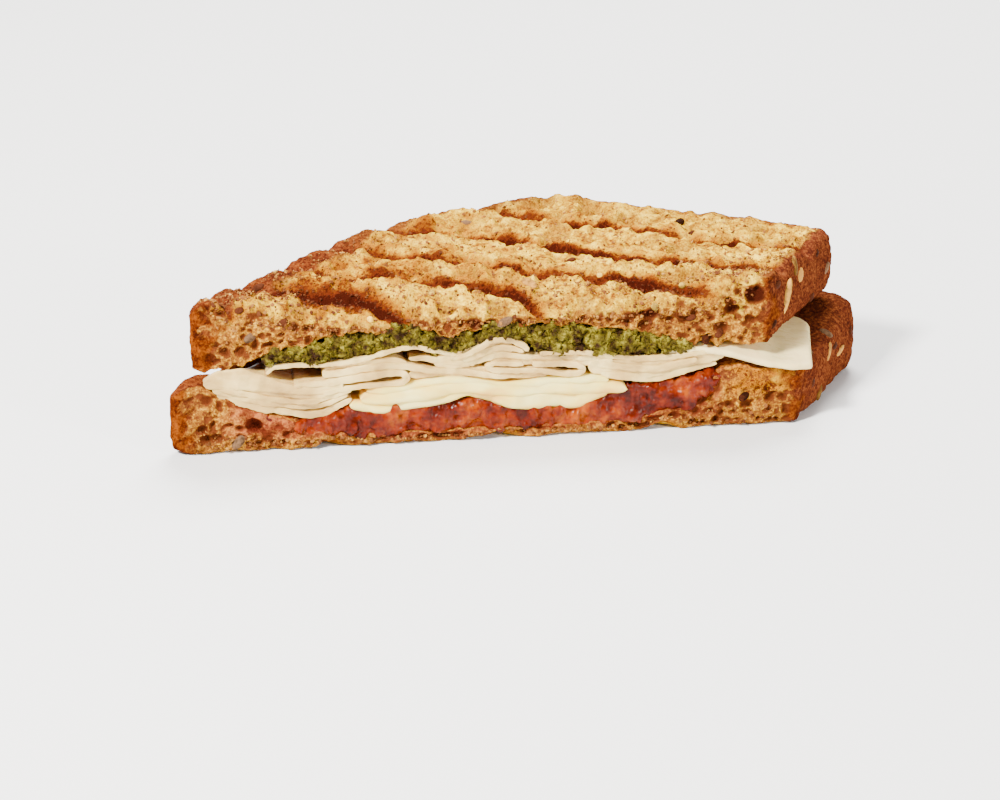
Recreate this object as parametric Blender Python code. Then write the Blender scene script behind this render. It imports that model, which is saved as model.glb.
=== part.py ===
"""One half of a pressed and grilled cheese sandwich, resting on its lower slice.

Two slices of multigrain bread hold a tomato relish, three melted slices of cheese, folded slices of
turkey breast and a green pesto. A knife cut across the slices makes the front face. The bread's
outer faces carry the grooves of a ribbed grill press.

Sizes in the functions are millimetres, measured from the left end of the cut: x runs along the cut,
y goes into the sandwich and z is up. Meshes are made in metres, with the origin under the middle.
"""

import math

import bpy
import numpy as np

MM = 0.001

# The origin lies under the middle of the sandwich's box.
ORIGIN_X = 82.75
ORIGIN_Y = 41.35

# Corners of each slice along its crust, from the cut's left end round to its right end: x, y, radius.
CUT_LENGTH = 138.0
TOP_CORNERS = (
    (0.0, 0.0, 0.0),
    (53.0, 60.5, 60.0),
    (99.0, 78.5, 12.0),
    (165.5, 38.2, 4.0),
    (CUT_LENGTH, 0.0, 0.0),
)
BOTTOM_CORNERS = (
    (-5.0, 0.0, 0.0),
    (50.0, 63.0, 60.0),
    (103.0, 85.0, 16.0),
    (175.0, 41.5, 11.0),
    (CUT_LENGTH + 7.0, 0.0, 0.0),
)
CORNER_STEPS = 12

# Heights of the bread.
TOP_FACE = 38.4
PILLOW = 0.7
TOP_UNDERSIDE = 22.0
TOP_DOME = 7.0
DOME_END_SPAN = (94.0, 122.0)
DOME_LOST = 0.95
BOTTOM_RIM = 18.0
RIM_DROP = 3.0
RIM_DROP_SPAN = (20.0, 110.0)
RIM_RISE = 4.5
RIM_RISE_SPAN = (12.0, 35.0)
BOTTOM_DISH = 13.0
DISH_REACH = 24.0
CUT_SAG = 4.4
SAG_SPAN = (6.0, 134.0, 34.0, 26.0)
SAG_REACH = 14.0
CRUST_ROUND = 2.2
CUT_ROUND = 0.8
CRUST_BULGE = 1.3

# Ribs of the grill press.
GROOVE_TURN = math.radians(-28.0)
GROOVE_SPACING = 19.2
FIRST_GROOVE = 16.0
GROOVE_HALF_WIDTH = 3.0
TOP_GROOVE_DEPTH = 2.2
BOTTOM_GROOVE_DEPTH = 1.6
UNEVEN_PRESS = 0.15
UNEVEN_RUN = 13.0
UNEVEN_DRIFT = 7.0

# The filling is laid out on one lattice, so that neighbours follow each other's surface.
GAP = 0.3
COLUMNS = 30
ROWS = (0.0, 4.0, 11.0, 20.0, 30.0, 41.0, 52.0, 62.0)
CRUST_INSET = 2.0
EDGE_SHARE = 0.35
EDGE_REACH = 12.0
END_SHARE = 0.45

ALONG = np.array([math.cos(GROOVE_TURN), math.sin(GROOVE_TURN)])
ACROSS = np.array([-math.sin(GROOVE_TURN), math.cos(GROOVE_TURN)])


def clear_scene():
    for obj in list(bpy.data.objects):
        bpy.data.objects.remove(obj)


def smooth(value, low, high):
    """0 up to low, 1 from high on, and an S curve between them."""
    share = np.clip((value - low) / (high - low), 0.0, 1.0)
    return share * share * (3.0 - 2.0 * share)


def band(value, start, end, rise, fall):
    """1 from start to end, with an S curve inside each end."""
    return smooth(value, start, start + rise) * (1.0 - smooth(value, end - fall, end))


def evenly(points, spacing):
    """The same line with points about one spacing apart."""
    points = np.asarray(points, float)
    lengths = np.hypot(*np.diff(points, axis=0).T)
    run = np.concatenate([[0.0], np.cumsum(lengths)])
    at = np.linspace(0.0, run[-1], max(2, int(run[-1] / spacing) + 1))
    return np.column_stack([np.interp(at, run, points[:, 0]), np.interp(at, run, points[:, 1])])


def crust_line(corners, spacing=0.5):
    """The crust from the first corner to the last, each corner between them rounded to its radius."""
    points = [np.array(corners[0][:2])]
    for before, here, after in zip(corners, corners[1:], corners[2:]):
        corner = np.array(here[:2])
        back = np.array(before[:2]) - corner
        ahead = np.array(after[:2]) - corner
        back = back / np.linalg.norm(back)
        ahead = ahead / np.linalg.norm(ahead)
        half = math.acos(float(np.clip(back @ ahead, -1.0, 1.0))) / 2.0
        tangent = here[2] / math.tan(half)
        centre = corner + (back + ahead) / np.linalg.norm(back + ahead) * here[2] / math.sin(half)
        start = corner + back * tangent - centre
        sweep = -(math.pi - 2.0 * half)
        for turn in np.linspace(0.0, sweep, CORNER_STEPS + 1):
            c, s = math.cos(turn), math.sin(turn)
            points.append(centre + np.array([c * start[0] - s * start[1], s * start[0] + c * start[1]]))
    points.append(np.array(corners[-1][:2]))
    return evenly(points, spacing)


TOP_CRUST = crust_line(TOP_CORNERS)
BOTTOM_CRUST = crust_line(BOTTOM_CORNERS)


def crust_distance(x, y):
    """How far a place on the top slice lies from its crust."""
    here = np.stack([np.ravel(x), np.ravel(y)], axis=1)
    gaps = here[:, None, :] - TOP_CRUST[None, ::4, :]
    return np.sqrt((gaps**2).sum(axis=2)).min(axis=1).reshape(np.shape(x))


def rim_height(x, y):
    """Top of the lower slice near its crust: lower at the right of the cut, higher at the back."""
    return BOTTOM_RIM - RIM_DROP * smooth(x, *RIM_DROP_SPAN) + RIM_RISE * smooth(y, *RIM_RISE_SPAN)


def dish(x, y):
    """0 at the crust and 1 where the filling has pressed the bread down fully."""
    return smooth(crust_distance(x, y), 0.0, DISH_REACH)


def groove_share(q):
    """1 in the middle of a groove and 0 between grooves, by the distance q across them."""
    off = np.abs((q - FIRST_GROOVE + GROOVE_SPACING / 2) % GROOVE_SPACING - GROOVE_SPACING / 2)
    return smooth(GROOVE_HALF_WIDTH - off, 0.0, GROOVE_HALF_WIDTH)


def top_face(x, y):
    """The pressed upper face: pillows between grooves, sinking towards the middle of the cut."""
    p = x * ALONG[0] + y * ALONG[1]
    q = x * ACROSS[0] + y * ACROSS[1]
    pillow = PILLOW * np.abs(np.sin(math.pi * (q - FIRST_GROOVE) / GROOVE_SPACING))
    uneven = 1.0 - UNEVEN_PRESS * (1.0 - np.sin(p / UNEVEN_RUN + q / UNEVEN_DRIFT))
    sag = CUT_SAG * band(x, *SAG_SPAN) * (1.0 - smooth(y, 0.0, SAG_REACH))
    return TOP_FACE + pillow - TOP_GROOVE_DEPTH * uneven * groove_share(q) - sag


def bottom_face(x, y):
    """The lower outer face: flat ridges on the table, with the press's grooves between them."""
    q = x * ACROSS[0] + y * ACROSS[1]
    return BOTTOM_GROOVE_DEPTH * groove_share(q)


def mesh_object(name, points, faces, material=None):
    """A closed mesh from points in millimetres, its faces turned outwards."""
    mesh = bpy.data.meshes.new(name)
    placed = (np.asarray(points) - (ORIGIN_X, ORIGIN_Y, 0.0)) * MM
    mesh.from_pydata(placed.tolist(), [], faces)
    mesh.validate()
    if signed_volume(mesh) < 0.0:
        mesh.flip_normals()
    if material:
        mesh.materials.append(material)
    obj = bpy.data.objects.new(name, mesh)
    bpy.context.scene.collection.objects.link(obj)
    return obj


def signed_volume(mesh):
    mesh.calc_loop_triangles()
    corners = np.array([v.co for v in mesh.vertices])
    triangles = np.array([t.vertices for t in mesh.loop_triangles])
    a, b, c = (corners[triangles[:, i]] for i in range(3))
    return float(np.einsum("ij,ij->i", a, np.cross(b, c)).sum()) / 6.0


def lofted(name, rings, material=None):
    """A solid through equal rings of points, closed by its first and last ring.

    Every four-sided patch is split from its lower x to its higher x, so that the faces of two pieces
    that lie on each other are split alike.
    """
    rings = np.asarray(rings)
    count, size = rings.shape[:2]
    faces = [tuple(range(size)), tuple(reversed(range((count - 1) * size, count * size)))]
    for ring in range(count - 1):
        for i in range(size):
            n = (i + 1) % size
            a, b = ring * size + i, ring * size + n
            if rings[ring, i, 0] <= rings[ring, n, 0]:
                faces += [(a, b + size, b), (a, a + size, b + size)]
            else:
                faces += [(a, a + size, b), (b, a + size, b + size)]
    return mesh_object(name, rings.reshape(-1, 3), faces, material)


def finish(name, colour, roughness):
    """A plain food finish: one colour, no metal."""
    material = bpy.data.materials.new(name)
    material.use_nodes = True
    shader = material.node_tree.nodes["Principled BSDF"]
    shader.inputs["Base Color"].default_value = (*colour, 1.0)
    shader.inputs["Roughness"].default_value = roughness
    shader.inputs["Metallic"].default_value = 0.0
    material.diffuse_color = (*colour, 1.0)
    return material


# Bread slices: sections along the grooves, close together where a groove dips.

LINE_OFFSETS = (-3.0, -1.5, 0.0, 1.5, 3.0, 6.6, 9.6, 12.6)
INNER_SHARES = (0.16, 0.33, 0.5, 0.67, 0.84)
END_LINE = 0.6
LINE_CLEAR = 1.6


def grill_lines(low, high):
    """Distances across the grooves at which the slice is sectioned, from one end of it to the other."""
    first = FIRST_GROOVE - GROOVE_SPACING
    grooves = range(int((high - low) / GROOVE_SPACING) + 3)
    lines = [first + GROOVE_SPACING * k + off for k in grooves for off in LINE_OFFSETS]
    inner = [q for q in lines if low + LINE_CLEAR < q < high - LINE_CLEAR]
    return [low + END_LINE, *inner, high - END_LINE]


def edge_drop(off, radius):
    """How far a rounded edge lies below its face at this distance from the side."""
    inside = np.clip(radius - off, 0.0, radius)
    return radius - np.sqrt(radius**2 - inside**2)


def slice_solid(name, crust, outer_face, inner_face, out, material):
    """A slice of bread inside its crust line, with its grooved outer face and its plain inner face.

    Each section is a closed ring: the outer face from the near crust to the far side, the far side, the
    inner face back, and the near crust. out is 1 if the outer face is up and -1 if it is down.
    """
    across, along = crust @ ACROSS, crust @ ALONG
    peak = int(np.argmax(across))
    cut_end = across[-1]
    far_q = np.concatenate([[across[0]], across[:peak - 1:-1]])
    far_p = np.concatenate([[along[0]], along[:peak - 1:-1]])
    rings = []
    for q in grill_lines(across[0], across[peak]):
        near = np.interp(q, across[: peak + 1], along[: peak + 1])
        far = np.interp(q, far_q, far_p)
        length = far - near
        on_cut = q < cut_end
        far_round = CUT_ROUND if on_cut else CRUST_ROUND
        first, second = min(0.6, 0.1 * length), min(CRUST_ROUND, 0.25 * length)
        inside = length * np.array(INNER_SHARES)
        offs = np.array([0.0, first, second, *inside, length - second, length - first, length])
        drop = np.maximum(edge_drop(offs, CRUST_ROUND), edge_drop(length - offs, far_round))
        outer = section_points(near + offs, q, outer_face, -out * drop)
        offs = np.array([length, length - second, 0.5 * length, second, 0.0])
        drop = np.maximum(edge_drop(offs, CUT_ROUND), edge_drop(length - offs, CUT_ROUND))
        inner = section_points(near + offs, q, inner_face, out * drop)
        far_bulge = 0.0 if on_cut else CRUST_BULGE
        far_side = side_point(outer[-1], inner[0], far_bulge)
        near_side = side_point(outer[0], inner[-1], -CRUST_BULGE)
        rings.append(np.vstack([outer, far_side, inner, near_side]))
    return lofted(name, rings, material)


def section_points(p, q, face, lift):
    """Points of one face along a section line, lifted by the rounding at its ends."""
    x = p * ALONG[0] + q * ACROSS[0]
    y = p * ALONG[1] + q * ACROSS[1]
    return np.column_stack([x, y, face(x, y) + lift])


def side_point(outer, inner, bulge):
    """The middle of a side wall, pushed out along the section line."""
    middle = (outer + inner) / 2.0
    middle[:2] += ALONG * bulge
    return middle


# Seeds and oat flakes baked into the bread. A kind is its half length, half width and half thickness;
# a place is where on the bread it sits, and the last number turns it on the surface, in radians.

SUNFLOWER = (2.3, 1.3, 0.8)
OAT = (2.6, 1.5, 0.6)
LONG_OAT = (4.2, 1.6, 0.7)
FLAX = (1.5, 1.0, 0.7)
MILLET = (0.9, 0.9, 0.8)
SEED_PROUD = 0.15


def seed_solid(centre, normal, radii, spin):
    """A seed of six sides, lying flat on the surface that has this normal."""
    normal = np.asarray(normal, float) / np.linalg.norm(normal)
    side = np.cross(normal, (0.0, 0.0, 1.0) if abs(normal[2]) < 0.9 else (1.0, 0.0, 0.0))
    side /= np.linalg.norm(side)
    other = np.cross(normal, side)
    longways = side * math.cos(spin) + other * math.sin(spin)
    sideways = np.cross(normal, longways)
    axes = np.array([longways * radii[0], sideways * radii[1], normal * radii[2]])
    unit = [(0.0, 0.0, -1.0)]
    for height in (-0.5, 0.5):
        wide = math.sqrt(1.0 - height**2)
        unit += [(wide * math.cos(a), wide * math.sin(a), height) for a in np.arange(6) * math.pi / 3]
    unit.append((0.0, 0.0, 1.0))
    faces = [(0, 2 + i if i < 5 else 1, 1 + i) for i in range(6)]
    for i in range(6):
        n = (i + 1) % 6
        faces += [(1 + i, 1 + n, 7 + n), (1 + i, 7 + n, 7 + i), (7 + i, 7 + n, 13)]
    return mesh_object("seed", np.asarray(centre) + np.array(unit) @ axes, faces)


def at_crust(crust, share, height):
    """A place on the side crust, at a share of the way from the cut's left end to its right end."""
    x, y = crust[int(share * (len(crust) - 1))]
    return (x, y, height)


def baked_in(bread, seeds):
    """Seeds half sunk in the bread's surface, each at the place nearest to the one asked for."""
    solids = []
    for place, kind, spin in seeds:
        start = (np.array(place) - (ORIGIN_X, ORIGIN_Y, 0.0)) * MM
        _, found, normal, _ = bread.closest_point_on_mesh(start)
        centre = np.array(found) / MM + (ORIGIN_X, ORIGIN_Y, 0.0)
        solids.append(seed_solid(centre + np.array(normal) * SEED_PROUD * kind[2], normal, kind, spin))
    return solids


TOP_SEEDS = (
    ((149.1, 15.0, 36.0), OAT, 1.2),
    ((150.4, 17.6, 33.0), OAT, 0.4),
    ((144.9, 9.3, 30.6), LONG_OAT, 1.2),
    ((141.8, 5.1, 34.8), FLAX, 0.2),
    ((140.4, 3.6, 26.0), FLAX, 0.9),
    ((158.5, 27.6, 35.0), FLAX, 0.5),
    ((162.1, 32.4, 29.5), SUNFLOWER, 0.9),
    (at_crust(TOP_CRUST, 0.76, 30.0), OAT, 0.9),
    (at_crust(TOP_CRUST, 0.69, 28.0), SUNFLOWER, 0.5),
    (at_crust(TOP_CRUST, 0.60, 33.0), FLAX, 0.1),
    (at_crust(TOP_CRUST, 0.45, 31.0), OAT, 1.9),
    (at_crust(TOP_CRUST, 0.28, 29.0), FLAX, 0.8),
    (at_crust(TOP_CRUST, 0.14, 30.0), OAT, 0.3),
    ((127.7, 46.9, 40.0), FLAX, 0.3),
    ((129.0, 40.0, 40.0), FLAX, 1.1),
    ((119.9, 4.0, 40.0), MILLET, 0.0),
    ((82.6, 8.0, 40.0), OAT, 0.7),
    ((74.5, 55.5, 40.0), SUNFLOWER, 2.1),
    ((60.4, 35.8, 40.0), FLAX, 0.6),
    ((75.1, 0.0, 31.2), SUNFLOWER, 1.4),
    ((14.6, 0.0, 29.4), OAT, 0.3),
    ((128.5, 0.0, 25.5), FLAX, 0.9),
)
BOTTOM_SEEDS = (
    ((158.8, 18.8, 12.0), OAT, 1.3),
    ((164.3, 26.4, 9.5), OAT, 0.4),
    ((154.5, 13.0, 3.5), OAT, 0.9),
    ((161.4, 22.4, 12.4), FLAX, 0.1),
    ((168.6, 32.3, 12.1), FLAX, 0.7),
    ((151.1, 8.3, 8.2), FLAX, 1.2),
    (at_crust(BOTTOM_CRUST, 0.76, 9.0), SUNFLOWER, 0.2),
    (at_crust(BOTTOM_CRUST, 0.68, 12.0), OAT, 0.6),
    (at_crust(BOTTOM_CRUST, 0.50, 8.0), OAT, 2.2),
    (at_crust(BOTTOM_CRUST, 0.34, 9.0), FLAX, 0.6),
    (at_crust(BOTTOM_CRUST, 0.15, 8.0), OAT, 0.2),
    ((135.0, 0.0, 8.0), FLAX, 0.5),
    ((10.2, 0.0, 3.0), SUNFLOWER, 0.8),
)


def apply_modifiers(obj):
    """Makes the shape that the object's modifiers give its own mesh."""
    bpy.context.view_layer.update()
    graph = bpy.context.evaluated_depsgraph_get()
    shaped = bpy.data.meshes.new_from_object(obj.evaluated_get(graph), depsgraph=graph)
    shaped.name = obj.name
    obj.modifiers.clear()
    obj.data = shaped


def fuse(obj, places):
    """Joins seeds to the bread and removes their own objects."""
    seeds = baked_in(obj, places)
    held = bpy.data.collections.new("seeds")
    for seed in seeds:
        held.objects.link(seed)
    join = obj.modifiers.new("seeds", "BOOLEAN")
    join.operation = "UNION"
    join.operand_type = "COLLECTION"
    join.collection = held
    join.solver = "MANIFOLD"
    apply_modifiers(obj)
    for seed in seeds:
        bpy.data.objects.remove(seed)
    bpy.data.collections.remove(held)


def carve(obj, rooms):
    """Presses the filling's room out of the bread."""
    for room in rooms:
        cut = obj.modifiers.new(room.name, "BOOLEAN")
        cut.operation = "DIFFERENCE"
        cut.object = room
        cut.solver = "EXACT"
    apply_modifiers(obj)


# The filling's lattice: at each row into the sandwich, the columns share the slice's width.


def lattice():
    """Each lattice point's x and y, and its column's place along the cut."""
    stations = np.linspace(0.0, CUT_LENGTH, COLUMNS + 1)
    peak = int(np.argmax(TOP_CRUST[:, 1]))
    y = np.repeat(np.array(ROWS)[None, :], len(stations), axis=0)
    left = np.interp(y, TOP_CRUST[: peak + 1, 1], TOP_CRUST[: peak + 1, 0])
    right = np.interp(y, TOP_CRUST[: peak - 1:-1, 1], TOP_CRUST[: peak - 1:-1, 0])
    inset = CRUST_INSET * smooth(y, 0.0, 6.0)
    along = np.repeat(stations[:, None], len(ROWS), axis=1)
    x = left + inset + along / CUT_LENGTH * (right - left - 2.0 * inset)
    return x, y, along


X, Y, CUT_X = lattice()
EDGE_PRESS = EDGE_SHARE + (1.0 - EDGE_SHARE) * smooth(crust_distance(X, Y), 0.0, EDGE_REACH)
FLOOR = rim_height(X, Y) - BOTTOM_DISH * dish(X, Y)
CEILING = TOP_UNDERSIDE + TOP_DOME * dish(X, Y) * (1.0 - DOME_LOST * smooth(CUT_X, *DOME_END_SPAN))


def presence(first, last, back):
    """1 inside a layer's columns and rows, less at its ends, and 0 outside."""
    column = np.arange(COLUMNS + 1)[:, None]
    row = np.arange(len(ROWS))[None, :]
    inside = (column >= first) & (column <= last) & (row <= back)
    at_end = (column == first) | (column == last) | (row == back)
    return np.where(inside, np.where(at_end, END_SHARE, 1.0), 0.0)


# A folded slice: thickness of each leg, how far its bend and its hollow reach, in columns.
FOLD_LEG = 1.2
NOSE_OUT = 0.12
HOLLOW_IN = 0.7


class Layer:
    """One piece of the filling on the lattice: its columns, its last row, its thickness and its front.

    The front is the piece's y at the cut: negative where it stands out of the cut. A folded slice has
    its bend at the left or at the right.
    """

    def __init__(self, name, first, last, back, thickness, front, fold=None, leg=FOLD_LEG):
        self.name, self.first, self.last, self.back = name, first, last, back
        self.thickness = thickness * presence(first, last, back) * EDGE_PRESS
        self.front, self.fold, self.leg = front, fold, leg
        self.low = self.high = None

    def lay(self, floor):
        """Lays the piece on what is below it, and returns the surface that the next piece lies on."""
        self.low = self.faced(floor)
        self.high = self.faced(floor + self.thickness)
        return floor + self.thickness + GAP * (self.thickness > 0.0)

    def faced(self, grid):
        """The same grid with its first row carried on, or held back, to the piece's front."""
        moved = grid.copy()
        moved[:, 0] += (grid[:, 1] - grid[:, 0]) * self.front / ROWS[1]
        return moved

    def column(self, i, row, height):
        """A point of column i, which may lie between two columns."""
        at = int(min(max(math.floor(i), 0), COLUMNS - 1))
        x, y = self.faced(X), self.faced(Y)
        return (x[at, row] + (i - at) * (x[at + 1, row] - x[at, row]), y[at, row], height)

    def flat_ring(self, row):
        """Section of a slice that lies flat: out along its underside, back along its top."""
        order = range(self.first, self.last + 1)
        under = [self.column(i, row, self.low[i, row]) for i in order]
        over = [self.column(i, row, self.high[i, row]) for i in reversed(order)]
        return under + over

    def folded_ring(self, row):
        """Section of a slice folded in two: round the outside of both legs, then round the inside."""
        bend, open_end = (self.last, self.first) if self.fold == "right" else (self.first, self.last)
        step = 1 if bend > open_end else -1
        outside = range(open_end, bend + step, step)
        inside = range(open_end, bend, step)
        leg = np.minimum(self.leg, 0.4 * (self.high - self.low))
        middle = (self.low + self.high) / 2.0
        nose = self.column(bend + step * NOSE_OUT, row, middle[bend, row])
        hollow_height = (middle[bend, row] + middle[bend - step, row]) / 2.0
        hollow_end = self.column(bend - step * HOLLOW_IN, row, hollow_height)
        ring = [self.column(i, row, self.low[i, row]) for i in outside]
        ring.append(nose)
        ring += [self.column(i, row, self.high[i, row]) for i in reversed(outside)]
        ring += [self.column(i, row, self.high[i, row] - leg[i, row]) for i in inside]
        ring.append(hollow_end)
        ring += [self.column(i, row, self.low[i, row] + leg[i, row]) for i in reversed(inside)]
        return ring if step == 1 else ring[::-1]

    def solid(self, material):
        section = self.folded_ring if self.fold else self.flat_ring
        return lofted(self.name, [section(row) for row in range(self.back + 1)], material)


def waves(period, phase, lean=0.05):
    """A ripple along the cut that drifts sideways with depth, from -1 to 1."""
    return np.sin(2.0 * math.pi * (CUT_X / period + lean * Y / 10.0) + phase)


# Tomato relish, thickest at the right of the cheese.
RELISH = Layer(
    "tomato_relish", 5, 28, 6,
    1.3 + 3.4 * band(CUT_X, 26.0, 131.0, 18.0, 8.0) + 3.6 * band(CUT_X, 98.0, 131.0, 14.0, 8.0)
    + 0.6 * waves(33.0, 1.1) * band(CUT_X, 30.0, 110.0, 14.0, 14.0),
    front=-0.3,
)

# Three slices of melted cheese in the middle of the cut.
CHEESES = [
    Layer("cheese_slice_1", 9, 24, 7, 2.2 + 0.25 * waves(41.0, 0.4), front=-0.9),
    Layer("cheese_slice_2", 9, 24, 7, 2.2 + 0.25 * waves(37.0, 2.6), front=-0.7),
    Layer("cheese_slice_3", 10, 23, 6, 2.1 + 0.25 * waves(29.0, 4.0), front=-0.4),
]

# Folded slices of turkey: a pile at the left, a long one over the cheese, a bump and a pile at the right.
PILE_LOW = Layer("turkey_slice_1", 1, 8, 5, 3.3 + 0.3 * waves(31.0, 0.0), front=0.4, fold="left")
PILE_HIGH = Layer("turkey_slice_2", 1, 8, 6, 3.3 + 0.3 * waves(27.0, 2.0), front=-0.4, fold="left")
LEFT_FOLD = Layer("turkey_slice_3", 2, 12, 6, 3.2 + 0.4 * waves(23.0, 1.0), front=0.2, fold="right")
LONG_FOLD = Layer("turkey_slice_4", 4, 20, 7, 2.9 + 0.5 * waves(26.0, 3.6), front=-0.3, fold="right")
RIGHT_FOLD = Layer("turkey_slice_5", 20, 27, 6, 3.1 + 0.3 * waves(19.0, 0.6), front=0.3, fold="right")
BUMP_FOLD = Layer("turkey_slice_6", 14, 18, 5, 3.9 + 0.3 * waves(21.0, 1.3), front=-0.2, fold="right")
TOP_SHEET = Layer("turkey_slice_8", 4, 27, 7, 1.5 + 0.2 * waves(17.0, 0.9), front=-0.5)


# Room that stays free round the filling, and how far its cutter reaches past the cut and the last row.
ROOM_SPARE = GAP + 0.1
ROOM_FRONT = 4.0
ROOM_BACK = 2.0
ROOM_END_SHARE = 0.25


def cutter(name, rings):
    """A solid through the rings, carried on past the cut at its front and a little at its back."""
    front = [(x, y - ROOM_FRONT, z) for x, y, z in rings[0]]
    back = [(x, y + ROOM_BACK, z) for x, y, z in rings[-1]]
    return lofted(name, [front, *rings, back])


class Overhang(Layer):
    """The slice that reaches past the crust at the right of the cut and droops over the lower slice.

    REACH and DROOP give its outer part in three steps, and SHAPE the share of that reach at each row.
    """

    REACH = (4.5, 9.0, 13.0)
    DROOP = (0.4, 0.9, 1.6)
    SHAPE = (1.0, 0.88, 0.75, 0.42)

    def __init__(self, name, first, thickness, front):
        super().__init__(name, first, COLUMNS, len(self.SHAPE) - 1, thickness, front)
        self.thickness[first:] = thickness * presence(first, COLUMNS + 1, self.back)[first:]

    def section(self, row, spare=0.0):
        """Section of the slice, thicker and longer by the spare room asked for."""
        under = [self.column(i, row, self.low[i, row] - spare) for i in range(self.first, COLUMNS + 1)]
        over = [self.column(i, row, self.high[i, row] + spare) for i in range(self.first, COLUMNS + 1)]
        for line in (under, over):
            x, y, height = line[-1]
            for reach, droop in zip(self.REACH, self.DROOP):
                line.append((x + (reach + spare) * self.SHAPE[row], y, height - droop))
        return under + over[::-1]

    def solid(self, material):
        return lofted(self.name, [self.section(row) for row in range(self.back + 1)], material)

    def room(self, name):
        """The same sheet with room round it, to press out of the bread."""
        return cutter(name, [self.section(row, ROOM_SPARE) for row in range(self.back + 1)])


FLAP = Overhang("turkey_slice_7", 23, 1.8, front=-0.6)

# Pesto fills what is left under the upper slice, with a lumpy top, and thins out at its ends.
PESTO_MOST = 6.2
PESTO_LEAST = 0.9
PESTO_END_SHARE = 0.6
PESTO_LUMP = 0.35


def lay_filling():
    """Lays every piece on the one below it, and returns them all with the surface on top of the pesto."""
    order = [RELISH, PILE_LOW, PILE_HIGH, *CHEESES, LEFT_FOLD, LONG_FOLD, RIGHT_FOLD, FLAP, BUMP_FOLD]
    order.append(TOP_SHEET)
    surface = FLOOR + GAP
    for piece in order:
        surface = piece.lay(surface)
    pesto = Layer("pesto", 4, 26, 6, 1.0, front=-0.2)
    lumps = PESTO_LUMP * waves(11.0, 0.0, 0.3) * waves(7.3, 1.0, -0.4)
    room = np.clip(CEILING - GAP - surface + lumps, PESTO_LEAST, PESTO_MOST)
    share = np.where(presence(4, 26, 6) == END_SHARE, PESTO_END_SHARE, 1.0)
    pesto.thickness = np.where(pesto.thickness > 0.0, room * share, 0.0)
    surface = pesto.lay(surface)
    return [*order, pesto], surface


def filling_room(name, top):
    """Everything between the slices, as one solid that is pressed out of the bread."""
    rings = []
    order = range(1, COLUMNS)
    end_height = FLOOR + ROOM_END_SHARE * (top - FLOOR)
    for row in range(len(ROWS)):
        under = [(X[i, row], Y[i, row], FLOOR[i, row]) for i in order]
        over = [(X[i, row], Y[i, row], top[i, row]) for i in reversed(order)]
        right = ((X[-2, row] + X[-1, row]) / 2.0, Y[-1, row], end_height[-2, row])
        left = ((X[0, row] + X[1, row]) / 2.0, Y[0, row], end_height[1, row])
        rings.append([*under, right, *over, left])
    return cutter(name, rings)


def main():
    clear_scene()
    finishes = {
        "tomato": finish("tomato_relish", (0.55, 0.08, 0.04), 0.25),
        "cheese": finish("melted_cheese", (0.90, 0.80, 0.55), 0.35),
        "turkey": finish("turkey_breast", (0.86, 0.74, 0.62), 0.45),
        "pesto": finish("pesto", (0.30, 0.33, 0.06), 0.55),
    }
    bread = finish("multigrain_bread", (0.62, 0.38, 0.17), 0.85)

    filling, surface = lay_filling()
    for piece in filling:
        food = piece.name.split("_")[0]
        piece.solid(finishes[food])

    top = slice_solid("bread_top", TOP_CRUST, top_face, lambda x, y: TOP_UNDERSIDE + 0.0 * x, 1, bread)
    bottom = slice_solid("bread_bottom", BOTTOM_CRUST, bottom_face, rim_height, -1, bread)
    rooms = [filling_room("filling_room", np.maximum(surface, CEILING)), FLAP.room("flap_room")]
    carve(top, rooms)
    carve(bottom, rooms)
    for room in rooms:
        bpy.data.objects.remove(room)

    fuse(top, TOP_SEEDS)
    fuse(bottom, BOTTOM_SEEDS)


main()
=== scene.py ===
import math

import bmesh
import bpy
import numpy as np
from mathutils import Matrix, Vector


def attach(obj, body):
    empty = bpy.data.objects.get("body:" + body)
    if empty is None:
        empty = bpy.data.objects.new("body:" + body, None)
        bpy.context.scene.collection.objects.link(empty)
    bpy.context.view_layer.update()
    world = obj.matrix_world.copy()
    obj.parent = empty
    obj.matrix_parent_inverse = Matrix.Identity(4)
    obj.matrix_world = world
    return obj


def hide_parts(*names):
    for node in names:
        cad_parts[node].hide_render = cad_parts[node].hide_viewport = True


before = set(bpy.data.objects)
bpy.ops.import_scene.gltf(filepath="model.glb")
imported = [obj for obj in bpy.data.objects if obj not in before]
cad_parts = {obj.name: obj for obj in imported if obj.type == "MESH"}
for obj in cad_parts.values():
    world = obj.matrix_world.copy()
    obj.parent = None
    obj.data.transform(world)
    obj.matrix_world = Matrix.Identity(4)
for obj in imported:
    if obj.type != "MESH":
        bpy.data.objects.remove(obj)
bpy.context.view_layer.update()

# Studio: a pale seamless floor, a large soft key light high at the left front, a fill at the right
# and a broad light overhead. The camera stands where the photograph's did, 21 degrees above the cut.
CAMERA_PLACE = (-0.10714, -0.71599, 0.27201)
CAMERA_TURN = (69.0, 0.0, -8.31)
LENS_MM = 108
FLOOR_TINT = (0.86, 0.86, 0.855, 1)
LIGHTS = {
    "key": ((-0.62, -0.55, 0.8), 0.2, 46.0, (1.0, 0.975, 0.94)),
    "fill": ((0.7, -0.8, 0.35), 0.18, 8.0, (1.0, 0.98, 0.96)),
    "overhead": ((0.15, 0.55, 0.9), 0.6, 27.0, (1.0, 0.985, 0.96)),
}
LAMPS_AIM = (0.0, 0.0, 0.02)
SKY = (1.0, 0.99, 0.975, 1)
SKY_STRENGTH = 0.5
FLOOR_CORNERS = ((-4, -4, 0), (4, -4, 0), (4, 4, 0), (-4, 4, 0))

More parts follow.
